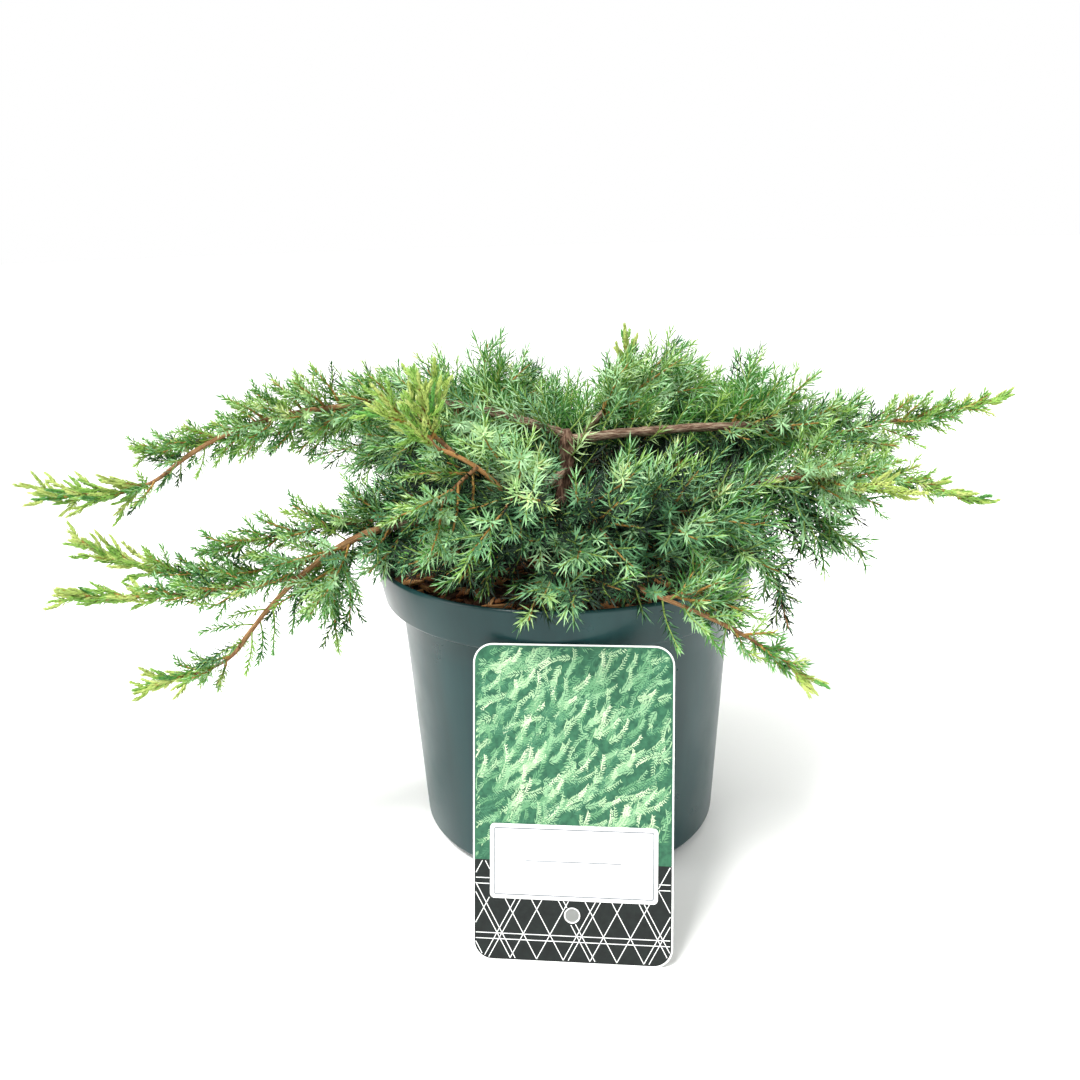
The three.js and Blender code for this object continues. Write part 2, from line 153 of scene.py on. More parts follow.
def new_material(name, code, roughness, specular):
    material = bpy.data.materials.new(name)
    material.use_nodes = True
    shader = material.node_tree.nodes["Principled BSDF"]
    shader.inputs["Base Color"].default_value = (*linear(code), 1)
    shader.inputs["Roughness"].default_value = roughness
    shader.inputs["Specular IOR Level"].default_value = specular
    return material, shader


def add_node(tree, kind, **inputs):
    """A new shader node; each input is a value, or another node's output to link from."""
    node = tree.nodes.new("ShaderNode" + kind)
    for key, value in inputs.items():
        socket = node.inputs[key.replace("_", " ")]
        if isinstance(value, bpy.types.NodeSocket):
            tree.links.new(value, socket)
        else:
            socket.default_value = value
    return node


print("the grey 808080 in linear light:", [round(part, 3) for part in linear("808080")])

# %% Build the studio
floor_reach = 9.0
floor_material, _ = new_material("studio floor", "f2f2f0", 0.9, 0.1)
bpy.ops.mesh.primitive_circle_add(vertices=96, radius=floor_reach, fill_type="NGON", location=(0, 0, 0))
floor = bpy.context.object
floor.name = "studio_floor"
floor.data.materials.append(floor_material)

world = bpy.data.worlds.new("studio")
world.use_nodes = True
bpy.context.scene.world = world
bpy.context.scene.view_settings.view_transform = "Standard"


def sky_light(tree, low=1.0, high=0.74):
    """White round the horizon and dimmer overhead, so that the crown shades its own inside."""
    heading = add_node(tree, "TexCoord").outputs["Generated"]
    rise = add_node(tree, "SeparateXYZ", Vector=heading).outputs["Z"]
    fade = add_node(tree, "MapRange", Value=rise, From_Min=0.2, From_Max=0.45, To_Min=low, To_Max=high)
    background = tree.nodes["Background"]
    background.inputs["Color"].default_value = (1, 1, 1, 1)
    tree.links.new(fade.outputs["Result"], background.inputs["Strength"])


sky_light(world.node_tree)
print("the floor reaches", floor_reach, "metres")

# %% Set the lights
lit_spot = Vector((0, 0, 0.12))


def add_light(name, kind, energy, place, size):
    light = bpy.data.lights.new(name, kind)
    light.energy = energy
    lamp = place_object(name, light)
    lamp.location = place
    lamp.rotation_euler = (lit_spot - Vector(place)).to_track_quat("-Z", "Y").to_euler()
    if kind == "SUN":
        light.angle = size
    else:
        light.shape = "RECTANGLE"
        light.size, light.size_y = size


add_light("key", "SUN", 4.1, (-0.85, -0.9, 2.2), radians(20))
add_light("panel_left", "AREA", 7, (-1.3, -0.5, 0.6), (0.5, 1.2))
add_light("panel_top", "AREA", 8, (0.1, 0.45, 1.0), (0.9, 0.9))
add_light("panel_right", "AREA", 5.5, (1.3, -0.3, 0.6), (0.5, 1.2))
print("studio ready")

# %% [markdown]
# ## Lines of the limbs
# A juniper's limb leaves its parent and arches out to its tip. It could be drawn by hand, point by
# point, but the frame's trunk, boughs and stems are cubic curves drawn by one rule from a short table:
# where a limb leaves its parent, the heading, reach and height of its tip, and how far it arches. The
# same rule and the same seeds are written again here, so that bark and needles fall on the solids.

# %% Seeded numbers and places
def seeded(seed):
    """The same numbers for the same seed as the solids were grown with."""
    state = seed

    def draw():
        nonlocal state
        state = (state + 0x6D2B79F5) & 0xFFFFFFFF
        mixed = ((state ^ (state >> 15)) * (1 | state)) & 0xFFFFFFFF
        mixed = ((mixed + (mixed ^ (mixed >> 7)) * (61 | mixed)) ^ mixed) & 0xFFFFFFFF
        return (mixed ^ (mixed >> 14)) / 4294967296

    return draw


def place(heading, reach, height):
    turn = radians(heading)
    return np.array([reach * cos(turn), reach * sin(turn), height])


def unit(vectors):
    vectors = np.asarray(vectors, dtype=float)
    return vectors / np.linalg.norm(vectors, axis=-1, keepdims=True)


def limb_curve(start, end, arch, crook, draw):
    bends = []
    for share in (1 / 3, 2 / 3):
        sway = [crook * (2 * draw() - 1) for _ in range(3)]
        bends.append(start + (end - start) * share + np.array(sway) + (0, 0, arch / 0.75))
    return np.array([start, *bends, end])


print("first number of seed 7:", round(seeded(7)(), 4))

# %% Read a curve
def curve_point(curve, share):
    """Points on cubic curves: the last two axes of the curve are its four corners and x, y, z."""
    share = np.asarray(share, dtype=float)[..., None]
    rest = 1 - share
    weights = (rest ** 3, 3 * rest ** 2 * share, 3 * rest * share ** 2, share ** 3)
    return sum(weight * curve[..., i, :] for i, weight in enumerate(weights))


def curve_tangent(curve, share):
    share = np.asarray(share, dtype=float)[..., None]
    rest = 1 - share
    steps = np.diff(curve, axis=-2)
    weights = (rest ** 2, 2 * rest * share, share ** 2)
    return unit(sum(weight * steps[..., i, :] for i, weight in enumerate(weights)))


def across(curve, tangent):
    """Two directions square to the tangent, from a reference that the whole curve stays clear of."""
    chord = unit(curve[..., 3, :] - curve[..., 0, :])
    steep = np.abs(chord[..., 2:3]) > 0.8
    reference = np.where(steep, (1.0, 0.0, 0.0), (0.0, 0.0, 1.0))
    side = unit(np.cross(tangent, reference))
    return side, np.cross(side, tangent)


straight = np.linspace((0, 0, 0), (30, 0, 0), 4)
print("half way along a straight curve of 30:", curve_point(straight, 0.5))

# %% The table of boughs
pot_height = 148
soil_height = 133
fork_height = 206
golden_angle = 137.5

# name, parent and share along it, heading, reach, height, arch, radius at root and tip
boughs = [
    ("right_long", "trunk", 0.93, 0, 140, 206, 3, 2.4, 1.6),
    ("left_high_inner", "trunk", 0.96, 177, 104, 219, 7, 2.4, 1.8),
    ("left_high_outer", "left_high_inner", 1, 181, 196, 190, 8, 1.8, 1.0),
    ("left_low_inner", "trunk", 0.42, 208, 96, 171, 5, 2.3, 1.8),
    ("left_low_outer", "left_low_inner", 1, 203.5, 163, 122, 9, 1.8, 1.0),
    ("front_left_inner", "trunk", 0.74, 251, 78, 195, -4, 1.8, 1.3),
    ("front_left_outer", "front_left_inner", 1, 236, 91, 214, 3, 1.1, 0.8),
    ("front_middle", "trunk", 0.54, 263, 58, 175, 2, 1.9, 1.3),
    ("front_right_inner", "trunk", 0.3, 289, 94, 156, 8, 1.6, 1.2),
    ("front_right_outer", "front_right_inner", 1, 301, 124, 146, 2, 1.1, 0.8),
    ("right_low", "trunk", 0.62, 346.5, 121, 189, -5, 2.2, 1.4),
    ("top_left", "trunk", 0.88, 152, 44, 214, 3, 2.0, 1.3),
    ("top_right", "trunk", 0.82, 47, 48, 218, 3, 2.0, 1.3),
    ("back_right", "trunk", 0.66, 44, 108, 182, 6, 2.6, 1.6),
    ("back_middle", "trunk", 0.5, 88, 114, 178, 7, 2.7, 1.6),
    ("back_left", "trunk", 0.58, 126, 108, 182, 6, 2.6, 1.6),
]


def trunk_radius(share):
    return 4.1 - 0.9 * share + 4.2 * np.exp(-11 * share)


trunk_curve = limb_curve(place(0, 0, soil_height - 4), np.array([2, 2, fork_height]), 0, 5, seeded(7))
limbs = {"trunk": trunk_curve}
limb_radii = {"trunk": trunk_radius}


def taper(thick, thin):
    return lambda share: thick + (thin - thick) * share


for order, (name, parent, at, heading, reach, height, arch, thick, thin) in enumerate(boughs):
    start = curve_point(limbs[parent], at)
    limbs[name] = limb_curve(start, place(heading, reach, height), arch, 3, seeded(20 + order))
    limb_radii[name] = taper(thick, thin)
print(len(limbs), "limbs; the fork is at", curve_point(trunk_curve, 1.0))

# %% The table of foliage masses
# name, limb and share along it, heading, reach, height, arch, half width, twigs in the solid
masses = [
    ("left_high_tip", "left_high_outer", 1, 182, 258, 181, -4, 14, 3),
    ("left_high_upper", "left_high_outer", 0.42, 179.5, 212, 199, -3, 12, 3),
    ("left_high_shoulder", "left_high_inner", 0.82, 176, 128, 203, 4, 15, 3),
    ("left_low_tip", "left_low_outer", 1, 200.5, 207, 105, 2, 10, 2),
    ("left_low_upper", "left_low_outer", 0.3, 191, 232, 168, -14, 14, 3),
    ("left_low_middle", "left_low_outer", 0.55, 196, 239, 149, -4, 12, 3),
    ("left_low_hanging", "left_low_outer", 0.17, 206, 124, 142, 5, 28, 3),
    ("left_low_shoulder", "left_low_inner", 0.7, 198, 176, 163, 4, 16, 4),
    ("left_inside", "left_high_inner", 0.5, 205, 59, 164, 2, 35, 4),
    ("front_left_bright", "front_left_outer", 1, 231, 91, 237, 2, 15, 3),
    ("front_left_bright_side", "front_left_outer", 0.7, 223, 104, 231, 3, 15, 2),
    ("front_left_hanging", "front_left_outer", 0.4, 239, 107, 186, 4, 23, 3),
    ("front_rim_left", "front_middle", 0.75, 238, 98, 166, 5, 27, 3),
    ("front_rim_middle", "front_middle", 1, 272, 98, 155, 5, 28, 3),
    ("front_high_left", "front_left_inner", 0.62, 256, 98, 194, 4, 30, 3),
    ("front_centre", "front_middle", 0.5, 280, 102, 182, 4, 30, 3),
    ("front_right_high", "front_right_inner", 0.4, 304, 98, 187, 4, 30, 3),
    ("front_right_side", "front_right_inner", 0.62, 321, 104, 170, 5, 31, 4),
    ("front_right_tip", "front_right_outer", 1, 311, 150, 122, 3, 9, 2),
    ("front_right_rim", "front_right_outer", 0.35, 307, 119, 144, 5, 15, 3),
    ("right_tip", "right_long", 1, 0, 216, 218, -3, 14, 3),
    ("right_upper", "right_long", 0.66, 355, 154, 199, 2, 20, 4),
    ("right_top", "right_long", 0.6, 13, 100, 199, 3, 26, 4),
    ("right_inside", "trunk", 0.4, 14, 96, 170, 3, 37, 4),
    ("right_low_tip", "right_low", 1, 349, 200, 176, 0, 12, 3),
    ("right_bright", "right_low", 0.86, 336, 146, 188, 3, 22, 3),
    ("right_hanging", "right_low", 0.66, 341, 113, 114, 14, 15, 3),
    ("right_hanging_outer", "right_low", 0.8, 349, 132, 150, 8, 24, 3),
    ("top_left_tip", "top_left", 1, 146, 44, 217, 0, 25, 3),
    ("top_left_side", "top_left", 0.7, 176, 80, 197, 3, 27, 3),
    ("top_middle", "top_left", 0.45, 112, 20, 193, 0, 24, 3),
    ("top_right_tip", "top_right", 1, 54, 60, 240, 0, 11, 3),
    ("top_right_front", "top_right", 0.55, 40, 31, 209, 0, 25, 3),
    ("top_right_side", "top_right", 0.8, 31, 78, 213, 0, 27, 4),
]

back_spread = 21
for order, bough in enumerate(("back_right", "back_middle", "back_left")):
    heading, reach, height = next(row[3:6] for row in boughs if row[0] == bough)
    drop = 12 + 6 * order
    masses.append((bough + "_tip", bough, 1, heading, reach + 45, height - drop, 7, 38, 4))
    masses.append((bough + "_side", bough, 0.6, heading + back_spread, reach + 26, height + 4, 6, 36, 4))
print(len(masses), "masses of foliage")

# %% [markdown]
# ## The pot
# A nursery pot is moulded from thin dark plastic: a tapering wall, a deep stepped collar with a fine
# lip, and a ring of drain holes underneath. It could be lathed with a Screw modifier, but turning its
# profile in code keeps each corner where the solid has it. The corners are rounded first, because a
# moulded edge always carries a line of light.

# %% Round a profile's corners
def rounded(points, radius, steps=4):
    """Cuts each corner of an open line back by the radius and bridges it with a curve."""
    points = [np.array(point, dtype=float) for point in points]
    smooth_line = [points[0]]
    for before, corner, after in zip(points, points[1:], points[2:]):
        to_before, to_after = before - corner, after - corner
        cut = min(radius, np.linalg.norm(to_before) / 2.1, np.linalg.norm(to_after) / 2.1)
        first = corner + unit(to_before) * cut
        last = corner + unit(to_after) * cut
        for i in range(steps + 1):
            share = i / steps
            mixed = (1 - share) ** 2 * first + 2 * share * (1 - share) * corner + share ** 2 * last
            smooth_line.append(mixed)
    return [tuple(point) for point in [*smooth_line, points[-1]]]


print("points of a rounded square corner:", len(rounded([(0, 0), (1, 0), (1, 1)], 0.2)))

# %% Model the pot
pot_outside = [
    (0, 0), (40, 0), (43, 3), (58, 3), (61, 0), (71.3, 0), (76.3, 5), (82.5, 112), (83.8, 124),
    (91.3, 127), (95, 147), (94.2, pot_height),
]
pot_inside = [
    (93.2, pot_height), (89.7, 128.5), (82.2, 125.5), (80.9, 112), (74.7, 5.5), (70, 1.6), (62, 1.6),
    (59, 4.6), (42, 4.6), (39, 1.6), (0, 1.6),
]
pot_sides, pot_edge_radius = 160, 1.2
drain_count, drain_radius, drain_ring = 8, 5, 50.5


def drill(piece, cutter):
    """Cuts one mesh out of another, and keeps the result as the piece's own mesh."""
    cut = piece.modifiers.new("cut", "BOOLEAN")
    cut.operation, cut.solver, cut.object = "DIFFERENCE", "EXACT", cutter
    shown = piece.evaluated_get(bpy.context.evaluated_depsgraph_get())
    mesh = bpy.data.meshes.new_from_object(shown)
    piece.modifiers.clear()
    piece.data = mesh
    bpy.data.objects.remove(cutter)


def drain_pins():
    """Short rods in one mesh, where the holes go."""
    rods = bmesh.new()
    for i in range(drain_count):
        middle = place(360 / drain_count * (i + 0.5), drain_ring, 3)
        spot = Matrix.Translation(Vector(middle) * MM)
        size = drain_radius * MM
        bmesh.ops.create_cone(
            rods, cap_ends=True, segments=24, radius1=size, radius2=size, depth=12 * MM, matrix=spot
        )
    mesh = bpy.data.meshes.new("drain_pins")
    rods.to_mesh(mesh)
    rods.free()
    return place_object("drain_pins", mesh)


pot_points, pot_faces = turned(rounded(pot_outside + pot_inside, pot_edge_radius), pot_sides)
pot = mesh_object("pot_shell", pot_points, pot_faces)
drill(pot, drain_pins())
print("faces of the drilled pot:", len(pot.data.polygons))

# %% [markdown]
# ### Pot plastic
# The plastic is a dark grey green with a soft gloss. Its wall was cooled in a mould, so the gloss
# wavers in long upright streaks, and a thin bloom of dust dulls it here and there. One roughness all
# over would look like paint. Noise that is stretched along the height gives the streaks and a bump
# too low to see as a shape, and finer noise gives the bloom.

# %% Paint with noise
def noise_pattern(tree, scale, detail, stretch=(1, 1, 1)):
    """Noise in the piece's own coordinates, which a mapping can stretch."""
    own = add_node(tree, "TexCoord").outputs["Object"]
    spot = add_node(tree, "Mapping", Vector=own, Scale=stretch).outputs["Vector"]
    return add_node(tree, "TexNoise", Vector=spot, Scale=scale, Detail=detail, Roughness=0.55).outputs[0]


def add_grain(tree, shader, pattern, stops, depth_mm=0, strength=1.0):
    """Turns a pattern into colour, by places from 0 to 1 with a colour code, and into a low bump."""
    ramp = add_node(tree, "ValToRGB", Fac=pattern)
    elements = ramp.color_ramp.elements
    while len(elements) < len(stops):
        elements.new(0.5)
    for element, (spot, code) in zip(elements, stops):
        element.position = spot
        element.color = (*linear(code), 1)
    tree.links.new(ramp.outputs["Color"], shader.inputs["Base Color"])
    if depth_mm:
        bump = add_node(tree, "Bump", Height=pattern, Distance=depth_mm * MM, Strength=strength)
        tree.links.new(bump.outputs["Normal"], shader.inputs["Normal"])


def grained(name, dark, light, roughness, specular, scale, detail, depth_mm=0, spread=0.15):
    """A finish that wavers between two colours, evenly spread round the middle of its noise."""
    material, shader = new_material(name, light, roughness, specular)
    tree = material.node_tree
    stops = [(0.5 - spread, dark), (0.5 + spread, light)]
    add_grain(tree, shader, noise_pattern(tree, scale, detail), stops, depth_mm)
    return material

# %% Finish the pot
def pot_plastic():
    material, shader = new_material("pot plastic", "0d292b", 0.3, 0.28)
    tree = material.node_tree
    streaks = noise_pattern(tree, 30, 4, (1, 1, 0.12))
    add_grain(tree, shader, streaks, [(0.3, "0d2829"), (0.55, "123435"), (0.8, "1f4444")], 0.12, 0.5)
    bloom = add_node(tree, "MapRange", Value=noise_pattern(tree, 55, 5), To_Min=0.2, To_Max=0.42)
    tree.links.new(bloom.outputs["Result"], shader.inputs["Roughness"])
    return material


pot.data.materials.append(pot_plastic())
finish_piece(pot, ["pot"])

# %% [markdown]
# ## The soil
# Potting soil is a dark crumbly mix with reddish shreds of bark on top. A bump in the material would
# do from afar, but it leaves the top flat at the rim. So the solid is turned again with a much finer
# top, which noise pushes into crumbs. The shreds are many small slabs, each bent and tapered by its
# own random numbers, joined in one mesh so that they cost little.

# %% Shape the soil
soil_side = [(0, 4.9), (59, 4.9), (62, 1.9), (69.8, 1.9), (74.3, 6), (80.6, 112), (81.9, 125.8), (89.4, 129)]
soil_top_reach, soil_top_height = (0, 25, 60, 89.4), (133, 133, 131.5, 130)
soil_step, soil_sides, soil_sink = 1.1, 220, 0.6
# how fine each size of crumb is, and how high
crumb_sizes = ((0.05, 1.6), (0.16, 0.9), (0.5, 0.4))


def soil_level(reach):
    return np.interp(reach, soil_top_reach, soil_top_height)


def crumbs(x, y):
    """Height of the crumbs at a spot: three sizes of noise, in millimetres."""
    return sum(rise * noise.noise(Vector((fine * x, fine * y, 3.7))) for fine, rise in crumb_sizes)


soil_rings = np.arange(soil_top_reach[-1] - 0.3, 0.5, -soil_step)
soil_profile = soil_side + [(reach, float(soil_level(reach))) for reach in soil_rings]
soil_profile.append((0, soil_height))
soil_points, soil_faces = turned(soil_profile, soil_sides)
for number, (x, y, z) in enumerate(soil_points):
    if z > soil_top_height[-1] - 0.1:
        soil_points[number] = (x, y, z + crumbs(x, y) - soil_sink)


print("points of the soil:", len(soil_points))

# %% Finish the soil
def soil_finish():
    material, shader = new_material("potting soil", "3a271c", 0.95, 0.2)
    stops = [(0.3, "1a120d"), (0.5, "35241a"), (0.62, "5b3b26"), (0.75, "7d5436")]
    add_grain(material.node_tree, shader, noise_pattern(material.node_tree, 260, 6), stops, 1.5)
    return material


soil = mesh_object("soil_bed", soil_points, soil_faces, [soil_finish()])
finish_piece(soil, ["soil"])

# %% Shape a shred of bark
def shred(draw, middle, length, width, thickness):
    """A bent slab of bark with ragged ends: four rings of four corners."""
    turn, tilt = 2 * pi * draw(), 0.35 * (draw() - 0.35)
    along = np.array([cos(turn) * cos(tilt), sin(turn) * cos(tilt), sin(tilt)])
    side = unit(np.cross(along, (0.3 * (draw() - 0.5), 0.3 * (draw() - 0.5), 1)))
    over = np.cross(side, along)
    rings = []
    for step, swell in zip((-0.5, -0.2, 0.2, 0.5), (0.35, 1, 0.9, 0.3)):
        spot = middle + along * length * step + over * width * 0.25 * (draw() - 0.5)
        wide = width * swell * (0.7 + 0.5 * draw()) / 2
        thick = thickness * (0.7 + 0.5 * draw()) / 2
        for a, b in ((-1, -1), (1, -1), (1, 1), (-1, 1)):
            rings.append(spot + side * wide * a + over * thick * b)
    faces = [(0, 2, 1), (0, 3, 2), (12, 13, 14), (12, 14, 15)]
    for ring in (0, 4, 8):
        for i in range(4):
            j = (i + 1) % 4
            faces += [(ring + i, ring + j, ring + 4 + j), (ring + i, ring + 4 + j, ring + 4 + i)]
    return rings, faces


print("faces of a shred:", len(shred(seeded(1), place(0, 0, 0), 10, 2, 1)[1]))

# %% Scatter the shreds
shred_count, shred_reach = 620, 86
shred_points, shred_faces, shred_kinds = [], [], []
draw = seeded(900)
for number in range(shred_count):
    reach = shred_reach * draw() ** 0.5
    middle = place(360 * draw(), reach, 0)
    length = 4 + 15 * draw() ** 2
    middle[2] = soil_level(reach) + crumbs(middle[0], middle[1]) + 0.1 + 1.4 * draw()
    if reach + length / 2 > shred_reach:
        middle[:2] *= (shred_reach - length / 2) / reach
    points, faces = shred(draw, middle, length, 1.2 + 2.6 * draw(), 0.6 + 0.9 * draw())
    shred_faces += [tuple(corner + len(shred_points) for corner in face) for face in faces]
    shred_points += points
    shred_kinds += [int(3 * draw())] * len(faces)
shred_browns = {"dark": ("2c1b13", "603d28"), "red": ("744426", "b47748"), "tan": ("a8703f", "e3ad74")}
shred_finishes = [
    grained("bark shred " + name, dark, light, 0.85, 0.25, 120, 4, 0.5)
    for name, (dark, light) in shred_browns.items()
]
shreds = mesh_object("soil_bark_shreds", shred_points, shred_faces, shred_finishes, shred_kinds, False)
finish_piece(shreds)

# %% [markdown]
# ## The plant card
# A stiff printed card stands on the floor and leans on the collar. It could be one box with a picture
# on it, but a picture made of real strokes keeps its edges at any distance. So the white card is cut
# from an outline with a hole, and ink lies on it in thin raised layers: a green picture of foliage,
# a dark band with fine white lines, and a bare white label with a grey rule round it.

# %% Place the card
card_width, card_length, card_thickness = 86, 137.7, 0.7
card_corner, card_hole_radius, card_hole_height = 8.5, 3, 21
card_foot, collar_at_top, clearance = 130, 92.4, 0.3
card_lean = asin((card_foot - collar_at_top - clearance) / card_length)
card_frame = (
    Matrix.Rotation(radians(-5), 4, "Z")
    @ Matrix.Translation((11, -card_foot, 0))
    @ Matrix.Rotation(pi / 2 - card_lean, 4, "X")
)
card_axes = np.array(card_frame)


def onto_card(points):
    """From the card's own x, y and height off its back, to places in the room."""
    return np.asarray(points, dtype=float) @ card_axes[:3, :3].T + card_axes[:3, 3]


print("the card leans by", round(card_lean * 180 / pi, 1), "degrees")

# %% Draw outlines
def arc(x, y, radius, first, last, steps=10):
    turns = [radians(first + (last - first) * i / steps) for i in range(steps + 1)]
    return [(x + radius * cos(turn), y + radius * sin(turn)) for turn in turns]


def round_box(left, bottom, right, top, low, high):
    """An outline whose corners are round, with one radius at the bottom and one at the top."""
    return [
        *arc(right - low, bottom + low, low, -90, 0), *arc(right - high, top - high, high, 0, 90),
        *arc(left + high, top - high, high, 90, 180), *arc(left + low, bottom + low, low, 180, 270),
    ]


print("points of a quarter arc:", len(arc(0, 0, 1, 0, 90)))

# %% Cut a plate
def flat_plate(name, outlines, bottom, thickness, material):
    """A thin plate on the card, cut by Blender's own filled curves; inner outlines are holes."""
    drawing = bpy.data.curves.new(name, "CURVE")
    drawing.dimensions = "2D"
    drawing.fill_mode = "BOTH"
    drawing.extrude = thickness / 2
    for outline in outlines:
        line = drawing.splines.new("POLY")
        line.points.add(len(outline) - 1)
        for point, (x, y) in zip(line.points, outline):
            point.co = (x, y, 0, 1)
        line.use_cyclic_u = True
    sketch = bpy.data.objects.new(name, drawing)
    mesh = bpy.data.meshes.new_from_object(sketch)
    bpy.data.objects.remove(sketch)
    points = np.array([tuple(vertex.co) for vertex in mesh.vertices])
    points[:, 2] += bottom + thickness / 2
    for vertex, spot in zip(mesh.vertices, onto_card(points)):
        vertex.co = Vector(spot) * MM
    mesh.materials.clear()
    mesh.materials.append(material)
    welded = bmesh.new()
    welded.from_mesh(mesh)
    bmesh.ops.remove_doubles(welded, verts=welded.verts, dist=0.001 * MM)
    welded.to_mesh(mesh)
    welded.free()
    return place_object(name, mesh)

# %% Cut the card
def coated_paper(name, dark, light):
    """Printed card: nearly even colour, with a faint paper tooth under a satin coat."""
    return grained(name, dark, light, 0.35, 0.3, 400, 3, 0.02)


half = card_width / 2
edge, inner_corner, ink = 0.7, card_corner - 0.7, 0.05
band_top, label_box, label_thickness = 44, (-35.5, 27.5, 36.5, 60), 0.5


def hole(margin):
    return arc(0, card_hole_height, card_hole_radius + margin, 0, 345, 23)


card_white = coated_paper("card white", "e9ebe8", "f5f6f4")
card_outline = round_box(-half, 0, half, card_length, card_corner, card_corner)
card = flat_plate("card_sheet", [card_outline, hole(0)], 0, card_thickness, card_white)
finish_piece(card, ["plant_card"])

# %% Print the ground, the band and the label
def inset(box, step):
    return box[0] + step, box[1] + step, box[2] - step, box[3] - step


label_grey = coated_paper("print grey line", "6d7276", "7f8488")
deep_green = coated_paper("print deep green", "24523d", "34694c")
charcoal = coated_paper("print charcoal", "0a100f", "121a18")
label_lift = card_thickness + label_thickness
rule_box = inset(label_box, 1.6)
picture_outline = round_box(-half + edge, band_top, half - edge, card_length - edge, 0.3, inner_corner)
band_outline = round_box(-half + edge, edge, half - edge, band_top, inner_corner, 0.3)
rule_outlines = [round_box(*rule_box, 1, 1), round_box(*inset(rule_box, 0.5), 0.6, 0.6)]
divider = [(-20, 44.0), (21, 44.0), (21, 44.45), (-20, 44.45)]
# name, outlines, height of the underside, thickness, finish
prints = [
    ("picture_ground", [picture_outline], card_thickness, ink, deep_green),
    ("band", [band_outline, hole(0.5)], card_thickness, ink, charcoal),
    ("label", [round_box(*label_box, 2, 2)], card_thickness, label_thickness, card_white),
    ("label_rule", rule_outlines, label_lift, ink, label_grey),
    ("label_divider", [divider], label_lift, ink, label_grey),
]
for name, outlines, bottom, thickness, finish in prints:
    finish_piece(flat_plate("card_" + name, outlines, bottom, thickness, finish))

# %% [markdown]
# ### Lines of the band
# The dark band carries a lattice of fine white lines, which stop at its edges, the hole and the label.
# A pattern in the material would blur from close by, so each line is a slim bar. One long line is
# walked in small steps, and every stretch of it that lies on the band becomes a bar.

# %% Find a line's stretches on the band
def off_corners(x, y, centre_height, upward):
    """Whether spots stay inside the print's round corners, whose centres lie at one height."""
    past_x, past_y = np.abs(x) - (half - edge - inner_corner), upward * (y - centre_height)
    return (past_x <= 0) | (past_y <= 0) | (np.hypot(past_x, past_y) < inner_corner - 0.4)


def on_band(x, y):
    low = edge + 0.4
    clear = (np.abs(x) < half - low) & (y > low) & (y < band_top - 0.3)
    clear &= ~((x > label_box[0] - 0.2) & (x < label_box[2] + 0.2) & (y > label_box[1] - 0.2))
    clear &= np.hypot(x, y - card_hole_height) >= card_hole_radius + 0.9
    return clear & off_corners(x, y, edge + inner_corner, -1)


def line_runs(x, y, direction, reach, step=0.4):
    """The stretches of one long straight line that lie on the band, as their first and last spots."""
    spots = np.array([x, y]) + np.outer(np.arange(int(reach / step)) * step, direction)
    change = np.diff(np.concatenate([[0], on_band(*spots.T), [0]]))
    ends = zip(np.flatnonzero(change > 0), np.flatnonzero(change < 0) - 1)
    return [(spots[first], spots[last]) for first, last in ends if last > first]


def strip(first, last, width, low, high):
    """A slim flat bar between two spots on the card."""
    along = last - first
    aside = np.array([-along[1], along[0]]) / np.linalg.norm(along) * width / 2
    corners = [first - aside, last - aside, last + aside, first + aside]
    return [(*corner, level) for level in (low, high) for corner in corners]


print("stretches of a level line through the hole:", len(line_runs(-half, 21, (1, 0), card_width)))

# %% Draw the lines of the band
bar_faces = [(0, 3, 2, 1), (4, 5, 6, 7), (0, 1, 5, 4), (1, 2, 6, 5), (2, 3, 7, 6), (3, 0, 4, 7)]
line_width, weave_gap = 0.34, 11.5
slope = unit((cos(radians(62)), sin(radians(62))))
bars = []
for number in range(-4, 14):
    for lean, shift in ((-1, 0), (1, 4)):
        x = lean * (-half + number * weave_gap + shift)
        starts = (x, x + 2.2) if number % 3 == 0 else (x,)
        for start in starts:
            bars += line_runs(start, 0, (lean * slope[0], slope[1]), 60)
for height in (9.5, 12, 33.5, 36):
    bars += line_runs(-half, height, (1, 0), card_width)
bar_points, bar_polygons = [], []
for first, last in bars:
    bar_polygons += [tuple(corner + len(bar_points) for corner in face) for face in bar_faces]
    bar_points += strip(first, last, line_width, card_thickness, card_thickness + ink + 0.04)
band_lines = mesh_object("card_band_lines", onto_card(bar_points), bar_polygons, [card_white], smooth=False)
finish_piece(band_lines)

# %% [markdown]
# ## Needles and fronds
# A juniper needle is a stiff awl, flat and pale on the side that faces the tip of its shoot, and
# keeled and green behind. A cone would be easy but has no pale side, while five points and six
# triangles hold the real shape. One function makes any number of them at once from arrays of roots
# and directions. The picture on the card uses it first, with strokes that lie flat, and the plant
# itself uses it a hundred thousand times.

# %% Shape needles
needle_faces = np.array([(0, 1, 2), (4, 2, 1), (0, 3, 1), (0, 2, 3), (4, 1, 3), (4, 3, 2)])
widest_at = 0.36


def needle_arrays(roots, along, facing, length, width, curl=0.0):
    """Points and triangles of many needles; the first two triangles of each are its pale face."""
    length, width = np.asarray(length)[:, None], np.asarray(width)[:, None]
    aside = np.cross(along, facing)
    middle = roots + along * length * widest_at
    tips = roots + along * length + facing * length * curl
    keels = middle - facing * width * 0.38
    corners = [roots, middle + aside * width / 2, middle - aside * width / 2, keels, tips]
    points = np.stack(corners, axis=1).reshape(-1, 3)
    triangles = (needle_faces[None] + 5 * np.arange(len(roots))[:, None, None]).reshape(-1, 3)
    return points, triangles


print("triangles of a needle:", len(needle_faces))

# %% [markdown]
# ### The card's picture
# The print shows arching fronds in five greens. Mottled noise would give the colours but no leaves, so
# the fronds are grown from the card's top down, and each stroke lies a hair higher than the last.

